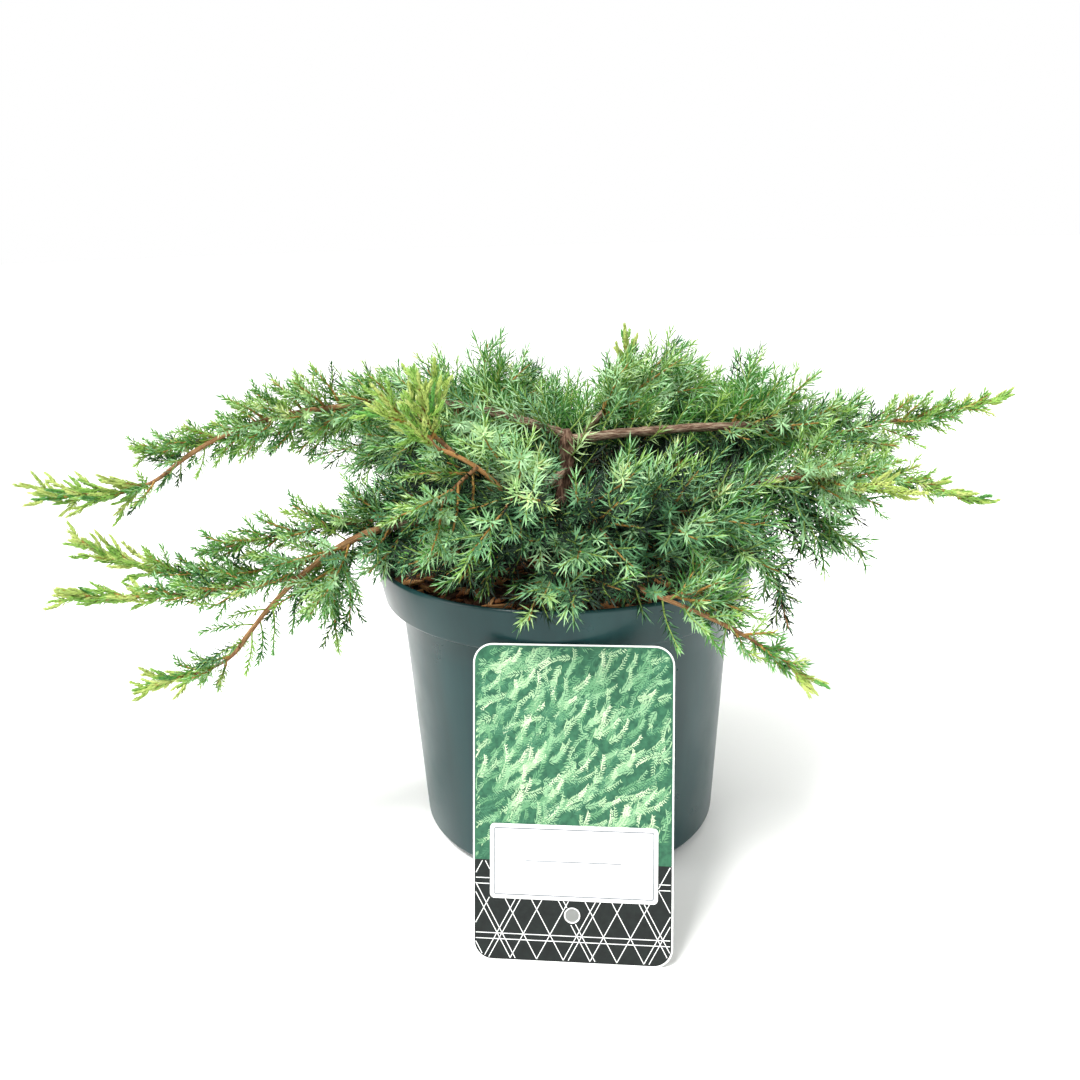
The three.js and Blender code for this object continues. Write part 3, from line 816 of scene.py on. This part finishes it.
# %% Grow flat fronds
def inside_picture(x, y):
    clear = (np.abs(x) < half - edge - 0.4) & (y > band_top + 0.3) & (y < card_length - edge - 0.4)
    clear &= ~((x > label_box[0]) & (x < label_box[2]) & (y < label_box[3] - 0.5))
    return clear & off_corners(x, y, card_length - edge - inner_corner, 1)


def frond_strokes(random, count):
    """Arching fronds from the card's top down: x, y, turn, length and tone of each of their strokes."""
    strokes = []
    for number in range(count):
        x, y = random.uniform(-half, half), card_length - (number + 0.5) / count * (card_length - band_top)
        heading = random.uniform(-0.3, 0.9) + (pi if random.random() < 0.35 else 0)
        reach, tone = random.uniform(9, 19), random.integers(0, 4)
        for step in np.arange(0.1, 1, 0.055):
            bend = heading + 0.5 * step
            spot = (x + reach * step * cos(bend), y + reach * step * sin(bend))
            for side in (-1, 1):
                turn = bend + side * random.uniform(0.5, 0.95)
                length = random.uniform(1.6, 3.2) * (1.1 - 0.6 * step)
                strokes.append((*spot, turn, length, min(tone + (step > 0.6), 4)))
    return np.array(strokes)


print("strokes of three fronds:", len(frond_strokes(np.random.default_rng(1), 3)))

# %% Print the picture
frond_count, stroke_width = 420, 0.5
fronds = frond_strokes(np.random.default_rng(41), frond_count)
x, y, turns, lengths, _ = fronds.T
kept = inside_picture(x, y) & inside_picture(x + np.cos(turns) * lengths, y + np.sin(turns) * lengths)
x, y, turns, lengths, tones = fronds[kept].T
lift = card_thickness + ink + 0.08 * np.arange(len(x)) / len(x)
headings = np.column_stack([np.cos(turns), np.sin(turns), 0 * turns])
facing = np.tile((0.0, 0.0, 1.0), (len(x), 1))
stroke_points, stroke_triangles = needle_arrays(
    np.column_stack([x, y, lift]), headings, facing, lengths, np.full(len(x), stroke_width)
)
stroke_points[3::5, 2] = card_thickness
print_greens = ["3f7457", "62966c", "84b186", "a4c69a", "c8dcb6"]
stroke_inks = [coated_paper("print green " + code, code, code) for code in print_greens]
stroke_tones = np.repeat(tones, len(needle_faces))
finish_piece(
    mesh_object(
        "card_picture_fronds", onto_card(stroke_points), stroke_triangles, stroke_inks, stroke_tones, False
    ),
)

# %% [markdown]
# ## Bark
# The short trunk is knobby, because every bough that leaves it has left a collar, and its bark peels in
# long narrow strips. The boughs are smoother and redder towards their ends. A bevelled curve would give
# plain pipes. So each limb is a tube laid along its own curve, fine enough for the relief to be real:
# ridges that run along the limb, swellings where others leave, and small knots.

# %% Model a limb with bark
def bark_limb(name, curve, radius_at, sides, rings, relief, knots, seed):
    """A closed tube whose radius follows ridges, knots and collars, and that knows its own length."""
    shares = np.linspace(0, 1, rings)
    centres = curve_point(curve[None], shares)
    tangents = curve_tangent(curve[None], shares)
    side, over = across(np.broadcast_to(curve, (rings, 4, 3)), tangents)
    length = np.linalg.norm(curve[3] - curve[0])
    points, bark_places = [], []
    for i, share in enumerate(shares):
        swell = sum(size * exp(-(((share - at) * length / 5) ** 2)) for at, size in knots)
        for k in range(sides):
            turn = 2 * pi * k / sides
            around = Vector((1.3 * cos(turn), 1.3 * sin(turn), 0.06 * share * length + seed))
            bark_places.append(around)
            strips = noise.noise(around * 1.3) * relief
            lumps = noise.noise(Vector((cos(turn), sin(turn), 0.22 * share * length + seed))) * relief
            radius = radius_at(share) * (1 + strips + 0.8 * lumps) + swell
            points.append(centres[i] + radius * (cos(turn) * side[i] + sin(turn) * over[i]))
    root, tip = len(points), len(points) + 1
    points += [centres[0], centres[-1]]
    bark_places += [bark_places[0], bark_places[-1]]
    faces = []
    for k in range(sides):
        j = (k + 1) % sides
        faces.append((root, j, k))
        faces.append((tip, (rings - 1) * sides + k, (rings - 1) * sides + j))
        for i in range(rings - 1):
            faces.append((i * sides + k, i * sides + j, (i + 1) * sides + j, (i + 1) * sides + k))
    piece = mesh_object(name, points, faces)
    grain = piece.data.attributes.new("grain", "FLOAT_VECTOR", "POINT")
    grain.data.foreach_set("vector", np.array(bark_places, dtype=np.float32).ravel())
    return piece

# %% [markdown]
# ### Bark by age
# Old bark is grey on its ridges and red in the furrows, a bough's is warmer, and this year's stems are
# tan. Noise in the room's own axes would run across a limb that lies flat. So each tube carries its
# turn and its length as an attribute, and noise that reads it is drawn out along the limb.

# %% Paint bark
def bark(name, stops, ridges, depth_mm):
    """Stringy bark: noise drawn out along the limb, grey on the ridges and red in the furrows."""
    material, shader = new_material(name, stops[1][1], 0.85, 0.25)
    tree = material.node_tree
    grain = add_node(tree, "Attribute")
    grain.attribute_name = "grain"
    strands = add_node(
        tree, "TexNoise", Vector=grain.outputs["Vector"], Scale=ridges, Detail=6, Roughness=0.68
    )
    add_grain(tree, shader, strands.outputs[0], stops, depth_mm)
    return material


# %% Choose the barks
# places and colours of the stops, noise scale, depth of the bump
barks = {
    "old": ((0.34, "2b1e18"), (0.46, "5e4436"), (0.57, "8a6e5a"), (0.7, "b09a85"), 3.2, 1.2),
    "bough": ((0.34, "35251c"), (0.46, "6d5040"), (0.56, "9e8a73"), (0.68, "c4b69d"), 3.2, 0.9),
    "young": ((0.3, "513623"), (0.48, "86613e"), (0.62, "ac8a60"), (0.76, "cbb384"), 3.6, 0.5),
    "fresh": ((0.3, "8a5a33"), (0.5, "bd8a55"), (0.7, "dcb482"), 3.6, 0.4),
}
bark_of = {age: bark(age + " bark", stops, ridges, depth) for age, (*stops, ridges, depth) in barks.items()}
print("barks:", list(bark_of))

# %% Clothe the trunk and boughs
def rounded_trunk(share):
    """The trunk's top is rounded off between the boughs that leave it."""
    return trunk_radius(share) * min(1, 0.45 + 9 * (1 - share))


def slender(radius_at):
    """A young bough is a little thinner between its ends."""
    return lambda share: radius_at(share) * (1 - 0.16 * sin(pi * share))


# sides, rings along the limb, and the ridges' share of its radius
trunk_detail, bough_sides, bough_ring_gap, bough_relief = (40, 90, 0.26), 20, 1.6, 0.2
trunk_knots = [(at, 0.3) for _, parent, at, *_ in boughs if parent == "trunk"]
trunk = bark_limb("trunk_bark", trunk_curve, rounded_trunk, *trunk_detail, trunk_knots, 5.0)
for vertex in trunk.data.vertices:
    vertex.co.z = max(vertex.co.z, (soil_height - 2) * MM)
trunk.data.materials.append(bark_of["old"])
finish_piece(trunk, ["trunk"])

for order, (name, parent, at, *_, thick, thin) in enumerate(boughs):
    outer = name.endswith("outer")
    draw = seeded(700 + order)
    knots = [(0.1 + 0.85 * (i + draw()) / 6, (0.05 + 0.2 * draw() ** 2) * thin) for i in range(6)]
    curve, radius_at = limbs[name], slender(limb_radii[name]) if outer else limb_radii[name]
    detail = bough_sides, int(np.linalg.norm(curve[3] - curve[0]) / bough_ring_gap), bough_relief
    piece = bark_limb("bough_" + name + "_bark", curve, radius_at, *detail, knots, 11.0 * order)
    age = "fresh" if name == "front_left_outer" else "young" if outer else "bough"
    piece.data.materials.append(bark_of[age])
    finish_piece(piece, ["bough_" + name])

# %% [markdown]
# ## What foliage keeps clear of
# Real shoots grow round the pot's rim, the soil and the limbs. Asking Blender for the nearest face of
# each mesh would be slow, so the test works on points: a turned shape only needs a radius and a height,
# the card is a box in its own frame, and the limbs are strings of balls. A shoot that would pass
# through them is tried again shorter and then left out, as in the solids. The foliage also parts in
# front of the trunk and of the fresh stem, which show through the gaps.

# %% Measure what is in the way
outside_radii, outside_heights = zip(*pot_outside[6:])
inside_radii, inside_heights = zip(*sorted(pot_inside[:5], key=lambda pair: pair[1]))
card_back = np.linalg.inv(card_axes)
balls_per_limb = 60
ball_shares = np.linspace(0, 1, balls_per_limb)
ball_centres = np.concatenate([curve_point(limbs[name][None], ball_shares) for name in limbs])
ball_radii = np.concatenate([limb_radii[name](ball_shares) for name in limbs])
clearing_line = unit((0, -1, 0.24))
# centre, half width, half height and how far in front of the centre it starts
clearings = [
    ((2, 0, 199), 6.5, 9, 5), ((-1, 0, 178), 5.5, 8, 5), ((-36, -76, 203), 14, 8, 2.5),
    ((-97, -52, 165), 9, 5, 3), ((-112, -57, 156), 10, 5, 3), ((-127, -60, 145), 9, 5, 3),
]
print("balls along the limbs:", len(ball_centres))

# %% Test for free space
def blocked(points, margin):
    """For each point, whether it lies in the pot's wall, the soil, the card or the floor."""
    reach, height = np.hypot(points[:, 0], points[:, 1]), points[:, 2]
    outer = np.interp(height, outside_heights, outside_radii)
    inner = np.interp(height, inside_heights, inside_radii)
    in_wall = (height < pot_height + margin) & (reach > inner - margin) & (reach < outer + margin)
    in_soil = (reach <= inner) & (height < soil_level(reach) + margin)
    local = points @ card_back[:3, :3].T + card_back[:3, 3]
    in_card = (np.abs(local[:, 0]) < half + margin) & (local[:, 1] < card_length + margin)
    in_card &= (local[:, 2] > -margin) & (local[:, 2] < card_thickness + margin)
    return in_wall | in_soil | in_card | (height < margin)


def in_clearing(points):
    """The foliage parts in front of the trunk and of the fresh stem, which show through the gaps."""
    inside = np.zeros(len(points), bool)
    for centre, half_width, half_height, start in clearings:
        ahead = points - np.array(centre)
        outward = ahead @ clearing_line
        aside = ahead - outward[:, None] * clearing_line
        oval = (aside[:, 0] / half_width) ** 2 + (aside[:, 2] / half_height) ** 2
        inside |= (outward > start) & (oval < 1)
    return inside


def in_limb(points):
    gaps = np.linalg.norm(points[:, None] - ball_centres[None], axis=2) - ball_radii
    return gaps.min(axis=1) < 0.2


print("blocked at the foot and at the fork:", blocked(np.array([(0, 0, 5), (0, 0, 206)]), 0))

# %% [markdown]
# ## Growing the shoots
# Every mass in the frame is one stem with twigs at the golden angle, leaning forward more and growing
# shorter towards its tip. Copies of one modelled spray would be quick, but the eye finds copies. So
# the same rule runs here at three scales: twigs on the stem, shoots on the twigs, and short shoots on
# the stem between them. A shoot is kept as the four corner points of a curve with its kind, so that
# all of them can be turned into bark and needles together.

# %% One rule for all branching
def branches(curve, width, count, draw, leans=(66, 42), first=0.14, span=0.68):
    """Side shoots of a stem: golden angle, leaning forward and shorter towards the tip."""
    phase = 360 * draw()
    for i in range(count):
        share = first + span * (i + 0.5) / count
        tangent = curve_tangent(curve, share)
        side, over = across(curve, tangent)
        turn = radians(phase + i * golden_angle)
        lean = radians(leans[0] + (leans[1] - leans[0]) * share)
        along = tangent * cos(lean) + sin(lean) * (side * cos(turn) + over * sin(turn))
        length = width * (1.3 - 0.5 * share) * (0.85 + 0.3 * draw())
        yield curve_point(curve, share), along, tangent, length, share


lengths = [round(row[3], 1) for row in branches(trunk_curve, 20, 5, seeded(1))]
print("five side shoots of the trunk would have lengths", lengths)

# %% Fit a shoot where there is room
def bent_shoot(base, along, tangent, length, lift, draw):
    """A shoot that leaves in one direction and turns towards its stem's tip and the light."""
    forward = unit(along + 0.38 * tangent + (0, 0, lift))
    tip = base + forward * length
    bend = base + along * length / 3
    sway = np.array([draw() - 0.5, draw() - 0.5, draw() - 0.5]) * 0.12 * length
    return np.array([base, bend, bend + (tip - bend) * 0.5 + sway, tip])


probe = np.linspace(0.2, 1, 6)


def fitted_shoot(base, along, tangent, length, lift, draw):
    """The shoot at its full length, or shorter, or none, as far as there is room."""
    for share in (1, 0.75, 0.5):
        curve = bent_shoot(base, along, tangent, share * length, lift, draw)
        spots = curve_point(curve[None], probe)
        if not (blocked(spots, 1.5) | in_clearing(spots) | in_limb(spots)).any():
            return curve
    return None


print("spots tested along a shoot:", probe.round(2))

# %% [markdown]
# ### Kinds of foliage
# Old inner shoots have long needles that stand wide. Out along the arms the needles are short and
# spiky, and this year's ends are cords of broad needles that lie flat on each other and close in a
# pointed bud. A function for each would say much the same five times, so a kind is a row of numbers
# for one rule, and a reaching mass changes kind part of the way along.

# %% Kinds of foliage
# SHADE is a near-black tint: painted shade for needles deep in the crown
SHADE, DEEP, MID, FRESH, TIP = range(5)

# needle length and width, spread along the shoot and at its end in degrees, gap between whorls,
# lean of the twigs at the stem's root and tip, gaps between twigs and between shoots, and tint weights
kind_keys = ("needle", "width", "spread", "end_spread", "gap", "leans", "twig_gap", "side_gap", "tints")
# the first tint weight is the near-black painted shade; the hanging kind, which hangs under the crown,
# carries the most of it
kind_rows = {
    "dense": (8.0, 0.88, 58, 26, 1.9, (66, 42), 5.2, 4.4, (0.04, 0.40, 0.51, 0.05, 0)),
    "open": (4.8, 1.0, 54, 26, 1.4, (62, 34), 5.4, 4.8, (0, 0.30, 0.47, 0.21, 0.02)),
    "hanging": (9.2, 1.15, 62, 40, 2.1, (70, 38), 4.0, 6.6, (0.20, 0.60, 0.20, 0, 0)),
    "cord": (4.2, 1.4, 24, 7, 1.2, (54, 22), 4.0, 7.5, (0, 0, 0.10, 0.50, 0.40)),
    "bright": (4.2, 1.55, 24, 8, 1.25, (58, 28), 6.0, 6.0, (0, 0, 0.06, 0.44, 0.50)),
}
kinds = {name: dict(zip(kind_keys, row)) for name, row in kind_rows.items()}
print("kinds:", list(kinds))

# %% Choose the kind
# where along its stem each reaching mass turns into this year's cords
cords_from = {
    "left_high_tip": 0.2, "left_high_upper": 0.9, "left_low_tip": 0.5, "left_low_upper": 0.66,
    "left_low_middle": 0.55, "front_right_tip": 0.75, "right_tip": 0.78, "right_low_tip": 0.62,
    "top_right_tip": 0.4, "right_bright": 0.8,
}
slender_tips = ("right_tip", "right_low_tip")
bare_stems = {"front_left_hanging": 0.05}  # share of the stem below its first needles
leaders = {"top_right_tip": 12}  # how far a last upright shoot stands past its stem
# share of its twigs that an airy mass keeps
airy = {"left_low_upper": 0.75, "left_low_middle": 0.75, "left_low_shoulder": 0.8, "left_low_hanging": 0.85}


def kind_of(mass, share):
    if mass in cords_from:
        return "cord" if share >= cords_from[mass] else "open"
    if mass in ("left_low_hanging", "left_low_shoulder", "front_left_hanging"):
        return "open"
    return next((kind for kind in ("bright", "hanging") if kind in mass), "dense")


print("the low left tip ends as", kind_of("left_low_tip", 1))

# %% Choose the tint
# the crown's reach to the sides and to front and back, its floor and its height: inside it needles get
# painted shade, on its top and outside painted light
crown_reach, crown_floor, crown_rise = (113, 125), 150, 62


def pick_tint(kind, draw, spot, lighter=0):
    """Deals a tint by its weight, then paints shade into the crown's inside and light onto its sunny top and
    outside.
    """
    draws, total, tint = draw(), 0, TIP
    for number, weight in enumerate(kinds[kind]["tints"]):
        total += weight
        if draws < total:
            tint = min(number + lighter, TIP)
            break
    rise = (spot[2] - crown_floor) / crown_rise
    outward = max(np.hypot(spot[0] / crown_reach[0], spot[1] / crown_reach[1]), rise)
    # painted shade: deep in the crown a needle is near black, and a little further out one tint darker
    if outward < 0.66:
        return SHADE
    if outward < 0.84:
        return max(tint - 1, SHADE)
    # painted light: on the crown's sunny top and far outside, a tint is often dealt one step lighter
    sunny = outward > 1.1 or rise > 0.72
    odds = (0.8, 0.75, 0.42 if rise > 0.72 else 0.16)
    return min(tint + 1, FRESH) if sunny and tint < FRESH and draw() < odds[tint] else tint


print("tint in the crown's heart:", pick_tint("dense", seeded(1), (0, 0, 150)))

# %% [markdown]
# ### From stem to mass
# On the real plant a spray is a stem with twigs round it, shoots on the twigs and small shoots in
# between. One function grows a twig and one grows a mass from its row of the table. Every mass has
# its own seed, so a change to one leaves the others as they are.

# %% Grow a twig
def shoot(curve, thick, thin, kind, tint, bare=0.0, until=1.0):
    """A shoot carries needles of one kind between two shares of its length; thickness 0 has no bark."""
    length = np.linalg.norm(np.diff(curve, axis=0), axis=1).sum()
    return dict(curve=curve, length=length, thick=thick, thin=thin, kind=kind, tint=tint,
                bare=bare, until=until)


def grow_twig(base, along, tangent, length, kind, draw, lighter):
    """A twig with side shoots by the same rule; a blocked one gives nothing."""
    lift = -0.05 if kind == "hanging" else 0.14
    curve = fitted_shoot(base, along, tangent, length, lift, draw)
    if curve is None:
        return []
    thick = 0.5 if kind == "hanging" else 0.75
    grown = [shoot(curve, thick, 0.3, kind, pick_tint(kind, draw, curve[2], lighter), 0.12)]
    length, rule = grown[0]["length"], kinds[kind]
    count = int(length / rule["side_gap"])
    sides = branches(curve, 0.33 * length + 3, count, draw, rule["leans"], 0.12, 0.8)
    for spot, aside, onward, reach, _ in sides:
        side = fitted_shoot(spot, aside, onward, reach, lift, draw)
        if side is not None:
            grown.append(shoot(side, 0.4, 0.22, kind, pick_tint(kind, draw, side[2], lighter)))
    return grown

# %% Grow a mass
def grow_mass(order, name, limb, at, heading, reach, height, arch, width, twigs):
    start = curve_point(limbs[limb], at)
    stem = limb_curve(start, place(heading, reach, height), arch, 2, seeded(100 + order))
    if at == 1:
        onward = curve_tangent(limbs[limb], 1)
        stem[1] = start + onward * np.linalg.norm(stem[3] - start) / 3
    draw = seeded(300 + order)
    inner, outer, turn = kind_of(name, 0), kind_of(name, 1), cords_from.get(name, 1)
    bare = min(bare_stems.get(name, 0.3), turn)
    grown = [shoot(stem, 0.8 + width / 60, 0.4, inner, pick_tint(inner, draw, stem[2]), bare, turn)]
    if turn < 1:
        grown.append(shoot(stem, 0, 0, outer, pick_tint(outer, draw, stem[3]), turn))
    stem_length, rule = grown[0]["length"], kinds[outer]
    count = max(4 * twigs if inner == outer else 0, int(stem_length / rule["twig_gap"]))
    count = int(count * airy.get(name, 1))
    span = 0.82 if outer == "cord" else 0.78
    for base, along, tangent, length, share in branches(
        stem, 1.05 * width, count, draw, rule["leans"], 0.1, span
    ):
        late, odds = (0.15, 0.8) if name in slender_tips else (0.75, 0.5)
        lighter = 1 if inner != outer and share > late and draw() < odds else 0
        if name in slender_tips:
            length *= 1.1 - 0.6 * share
        elif outer == "cord" and share > turn:
            length = max(length, 1.15 * width)
        grown += grow_twig(base, along, tangent, length, kind_of(name, share), draw, lighter)
    for base, along, tangent, length, share in branches(
        stem, 8, int(stem_length / 5.5), draw, rule["leans"], 0.25, 0.72
    ):
        kind = kind_of(name, share)
        curve = fitted_shoot(base, along, tangent, length, 0.25, draw)
        if curve is not None:
            grown.append(shoot(curve, 0.45, 0.22, kind, pick_tint(kind, draw, curve[2])))
    if name in leaders:
        upward = unit(np.array([-0.12, 0, 1.0]))
        leader = bent_shoot(curve_point(stem, 0.9), upward, upward, leaders[name], 0.1, draw)
        grown.append(shoot(leader, 0.5, 0.3, outer, TIP))
    return grown

# %% Grow every mass
def region_of(name):
    """The part of the crown that a mass or bough belongs to; the wide back is in two parts."""
    return "middle" if "back_middle" in name else name.split("_")[0]


regions = {"left": [], "front": [], "right": [], "top": [], "back": [], "middle": []}
for order, row in enumerate(masses):
    regions[region_of(row[0])] += grow_mass(order, *row)
print("shoots:", {name: len(grown) for name, grown in regions.items()})

# %% [markdown]
# ### Short shoots along the boughs
# On the real plant the boughs carry small shoots all the way, and only here and there a stretch of
# bark lies open to the front. Bare boughs with foliage at their ends would look like a feather duster.
# The rule is the same again with short lengths, and along those stretches no shoot leaves towards the
# viewer. Where foliage crosses a bough or the pot's rim, it carries whole twigs.

# %% Say where the bark lies open
facing_viewer = 0.3
open_bark = {
    "right_long": (0, 0.52), "left_high_outer": (0.58, 0.9), "left_low_inner": (0.6, 1),
    "left_low_outer": (0, 0.85), "front_left_outer": (0, 0.9),
}
long_arms = ("right_long", "left_high_inner", "left_high_outer", "front_right_inner")
# longest shoots, and the gap between them
shoot_sizes = {
    "trunk": (25, 1.4), "left_low_inner": (27, 1.5), "left_low_outer": (24, 2.6), "right_low": (21, 2.2),
}
shoot_sizes.update({name: (14, 1.7) for name in long_arms})


def open_branches(name, lowest, *rule):
    """Shoots of a limb, but where its bark lies open none towards the viewer, unless it hangs low."""
    first, last = open_bark.get(name, (1, 0))
    for base, along, tangent, reach, share in branches(limbs[name], *rule):
        if not (first < share < last and -along[1] > facing_viewer and along[2] > lowest):
            yield base, along, tangent, reach


print("limbs with open bark:", list(open_bark))

# %% Grow shoots on the boughs
for order, name in enumerate(["trunk"] + [name for name, *_ in boughs]):
    draw, kind = seeded(500 + order), "open" if name.endswith("outer") else "dense"
    width, gap = shoot_sizes.get(name, (17, 3.2))
    count = int(0.88 * np.linalg.norm(limbs[name][3] - limbs[name][0]) / gap)
    for base, along, tangent, reach in open_branches(name, -1, width, count, draw, (70, 50), 0.1, 0.88):
        side = fitted_shoot(base + 2.6 * along, along, tangent, reach, 0.1, draw)
        if side is not None:
            side[0] = base
            regions["back" if name == "trunk" else region_of(name)].append(
                shoot(side, 0.45, 0.22, kind, pick_tint(kind, draw, side[2]), 0.15)
            )
print("with the boughs' shoots:", {name: len(grown) for name, grown in regions.items()})

# %% Grow twigs where foliage crosses
# bough, kind and length of its twigs, how many, and where they start and end along it
crossings = [
    ("left_low_inner", "dense", 28, 30, 0.5, 0.99), ("back_left", "dense", 28, 10, 0.2, 0.7),
    ("back_right", "dense", 28, 10, 0.2, 0.7), ("left_high_inner", "dense", 19, 16, 0.5, 0.99),
    ("left_high_outer", "open", 16, 22, 0.02, 0.56), ("right_long", "dense", 16, 16, 0.54, 0.99),
]
for order, (name, kind, width, count, first, last) in enumerate(crossings):
    rule = width, count, seeded(560 + order), (76, 56), first, last - first
    for base, along, tangent, reach in open_branches(name, -0.3, *rule):
        regions[region_of(name)] += grow_twig(base + 2.2 * along, along, tangent, reach, kind, rule[2], 0)
print("with the crossing twigs:", {name: len(grown) for name, grown in regions.items()})

# %% [markdown]
# ## Twigs
# Twigs are brown where they are old and green where they are this year's. Each could be a curve of its
# own, but thousands of objects are slow to handle. So all the shoots of a region become one mesh of
# thin tubes, and each ring of each tube is worked out for all of them at once.

# %% Make many tubes at once
def tube_arrays(curves, thick, thin, sides, rings):
    """Points and triangles of many tapering tubes that end in a point."""
    count = len(curves)
    shares = np.broadcast_to(np.linspace(0, 1, rings), (count, rings))
    spread = np.broadcast_to(curves[:, None], (count, rings, 4, 3))
    centres, tangents = curve_point(spread, shares), curve_tangent(spread, shares)
    side, over = across(spread, tangents)
    radii = (thick[:, None] + (thin - thick)[:, None] * shares)[..., None, None]
    turns = 2 * pi * np.arange(sides) / sides
    circle = np.cos(turns)[:, None] * side[:, :, None] + np.sin(turns)[:, None] * over[:, :, None]
    ring_points = (centres[:, :, None] + radii * circle).reshape(count, -1, 3)
    ends = centres[:, -1:] + tangents[:, -1:] * 0.5
    points = np.concatenate([ring_points, ends], axis=1)
    per = rings * sides + 1
    faces = [(0, i + 1, i) for i in range(1, sides - 1)]
    for ring in range(rings - 1):
        for i in range(sides):
            a, b = ring * sides + i, ring * sides + (i + 1) % sides
            faces += [(a, b, b + sides), (a, b + sides, a + sides)]
    last = (rings - 1) * sides
    faces += [(last + i, last + (i + 1) % sides, per - 1) for i in range(sides)]
    triangles = np.array(faces)[None] + per * np.arange(count)[:, None, None]
    return points.reshape(-1, 3), triangles.reshape(-1, 3), len(faces)

# %% Build the twigs
twig_browns = {"brown": ("60432c", "9a7048"), "tan": ("86602f", "b58d4a"), "green": ("62803a", "94ad56")}
twig_finishes = [
    grained(name + " twig", dark, light, 0.7, 0.3, 700, 3) for name, (dark, light) in twig_browns.items()
]


stem_thickness, twig_thickness = 0.9, 0.6  # thicker shoots than these are brown, and tan


def column(grown, key):
    return np.array([item[key] for item in grown])


def build_twigs(region, grown):
    grown = [item for item in grown if item["thick"] > 0]
    curves, thick, thin = (column(grown, key) for key in ("curve", "thick", "thin"))
    woody = thick > stem_thickness
    kinds_of_twig = np.where(woody, 0, np.where(thick > twig_thickness, 1, 2))
    all_points, all_triangles, all_kinds, offset = [], [], [], 0
    for chosen, sides, rings in ((woody, 8, 14), (~woody, 4, 5)):
        points, triangles, per = tube_arrays(curves[chosen], thick[chosen], thin[chosen], sides, rings)
        all_points.append(points)
        all_triangles.append(triangles + offset)
        all_kinds.append(np.repeat(kinds_of_twig[chosen], per))
        offset += len(points)
    return mesh_object(
        "twigs_" + region, np.concatenate(all_points), np.concatenate(all_triangles),
        twig_finishes, np.concatenate(all_kinds),
    )


for region, grown in regions.items():
    finish_piece(build_twigs(region, grown))

# %% [markdown]
# ## Needles
# A needle is green behind and has a pale band on the side that faces the tip, which is why a juniper
# glitters blue from above. One material can't tell the two sides apart, so each tint has two finishes,
# and every triangle says which it wears. Colours are dealt out by shoot, from a near black that is
# painted shade deep in the crown to the yellow green of this year's ends, and shoots on the crown's
# sunny top and outside are often dealt a tint lighter as painted light.

# %% Finishes for the needles
# tint, dark and light of the green back, dark and light of the pale band
# the shade tint is painted shade: a near black for the needles deep inside the crown
needle_greens = [
    ("shade", "07110a", "0f1f12", "101f17", "1d3524"), ("deep", "163417", "285126", "487b52", "79a778"),
    ("mid", "3c7132", "599340", "7bad76", "add2a0"), ("fresh", "659239", "8aae51", "90b874", "b9d699"),
    ("tip", "8ea84d", "b0be6b", "acc079", "cbd69a"),
]
needle_finishes = []
for tint, dark, light, pale_dark, pale_light in needle_greens:
    needle_finishes += [
        grained(tint + " needle", dark, light, 0.42, 0.22, 90, 2, spread=0.12),
        grained(tint + " needle band", pale_dark, pale_light, 0.5, 0.22, 90, 2, spread=0.12),
    ]
print("needle finishes:", len(needle_finishes))

# %% [markdown]
# ### Whorls of three
# Needles stand in threes round the shoot, and each whorl is turned against the last by sixty degrees.
# They spread widely on old shoots and press forward at the tips, where they form pale spindles. They
# could be instances of one needle, but a plain mesh for each region is exported just as it is. A
# needle whose tip would be inside the pot, the soil or the card is left out.

# %% Set needles on the shoots
closing = 9.0


def build_needles(region, grown, random):
    """Three needles to a whorl, whorl after whorl, for all the shoots of a region at once."""
    rule = {key: np.array([kinds[item["kind"]][key] for item in grown]) for key in kind_keys[:5]}
    bare, until, length = column(grown, "bare"), column(grown, "until"), column(grown, "length")
    counts = np.maximum((length * (until - bare) / rule["gap"]).astype(int), 2)
    owner = np.repeat(np.arange(len(grown)), counts)
    number = np.arange(len(owner)) - np.repeat(np.cumsum(counts) - counts, counts)
    share = bare[owner] + (until - bare)[owner] * (number + 0.6) / counts[owner]
    owner, number, share = (np.repeat(values, 3) for values in (owner, number, share))
    curves = column(grown, "curve")[owner]
    centres, axis = curve_point(curves, share), curve_tangent(curves, share)
    side, over = across(curves, axis)
    turn = radians(60) * number + radians(120) * np.tile((0, 1, 2), len(owner) // 3)
    turn = turn + random.normal(0, 0.22, len(turn)) + 1.7 * owner
    radial = np.cos(turn)[:, None] * side + np.sin(turn)[:, None] * over
    ending = np.clip(1 - (1 - share) * length[owner] / closing, 0, 1)
    angle = rule["spread"][owner] * (1 - ending) + rule["end_spread"][owner] * ending
    angle = np.radians(angle + random.normal(0, 7, len(angle)))[:, None]
    along = np.cos(angle) * axis + np.sin(angle) * radial
    facing = np.sin(angle) * axis - np.cos(angle) * radial
    reach = rule["needle"][owner] * (1.05 - 0.3 * ending) * random.uniform(0.8, 1.12, len(angle))
    reach = np.minimum(reach, 2 + 0.42 * length[owner])
    kept = ~blocked(centres + along * reach[:, None], 0)
    roots = centres + radial * 0.15
    width = rule["width"][owner] * (0.55 + 0.45 * reach / rule["needle"][owner])
    points, triangles = needle_arrays(
        roots[kept], along[kept], facing[kept], reach[kept], width[kept], 0.05
    )
    fresher = (share > 0.8) & (random.random(len(grown))[owner] < 0.2)
    tint = column(grown, "tint")[owner]
    tint = np.where(tint > SHADE, np.minimum(tint + fresher, TIP), tint)[kept]
    face_kinds = (2 * tint[:, None] + np.array([1, 1, 0, 0, 0, 0])).ravel()
    return mesh_object("needles_" + region, points, triangles, needle_finishes, face_kinds, False)

# %% Set the needles of every region
random = np.random.default_rng(73)
total = 0
for region, grown in regions.items():
    piece = build_needles(region, grown, random)
    nodes = ["foliage_" + row[0] for row in masses if region_of(row[0]) == region]
    total += len(piece.data.polygons)
    finish_piece(piece, nodes)
print("triangles in needles:", total)
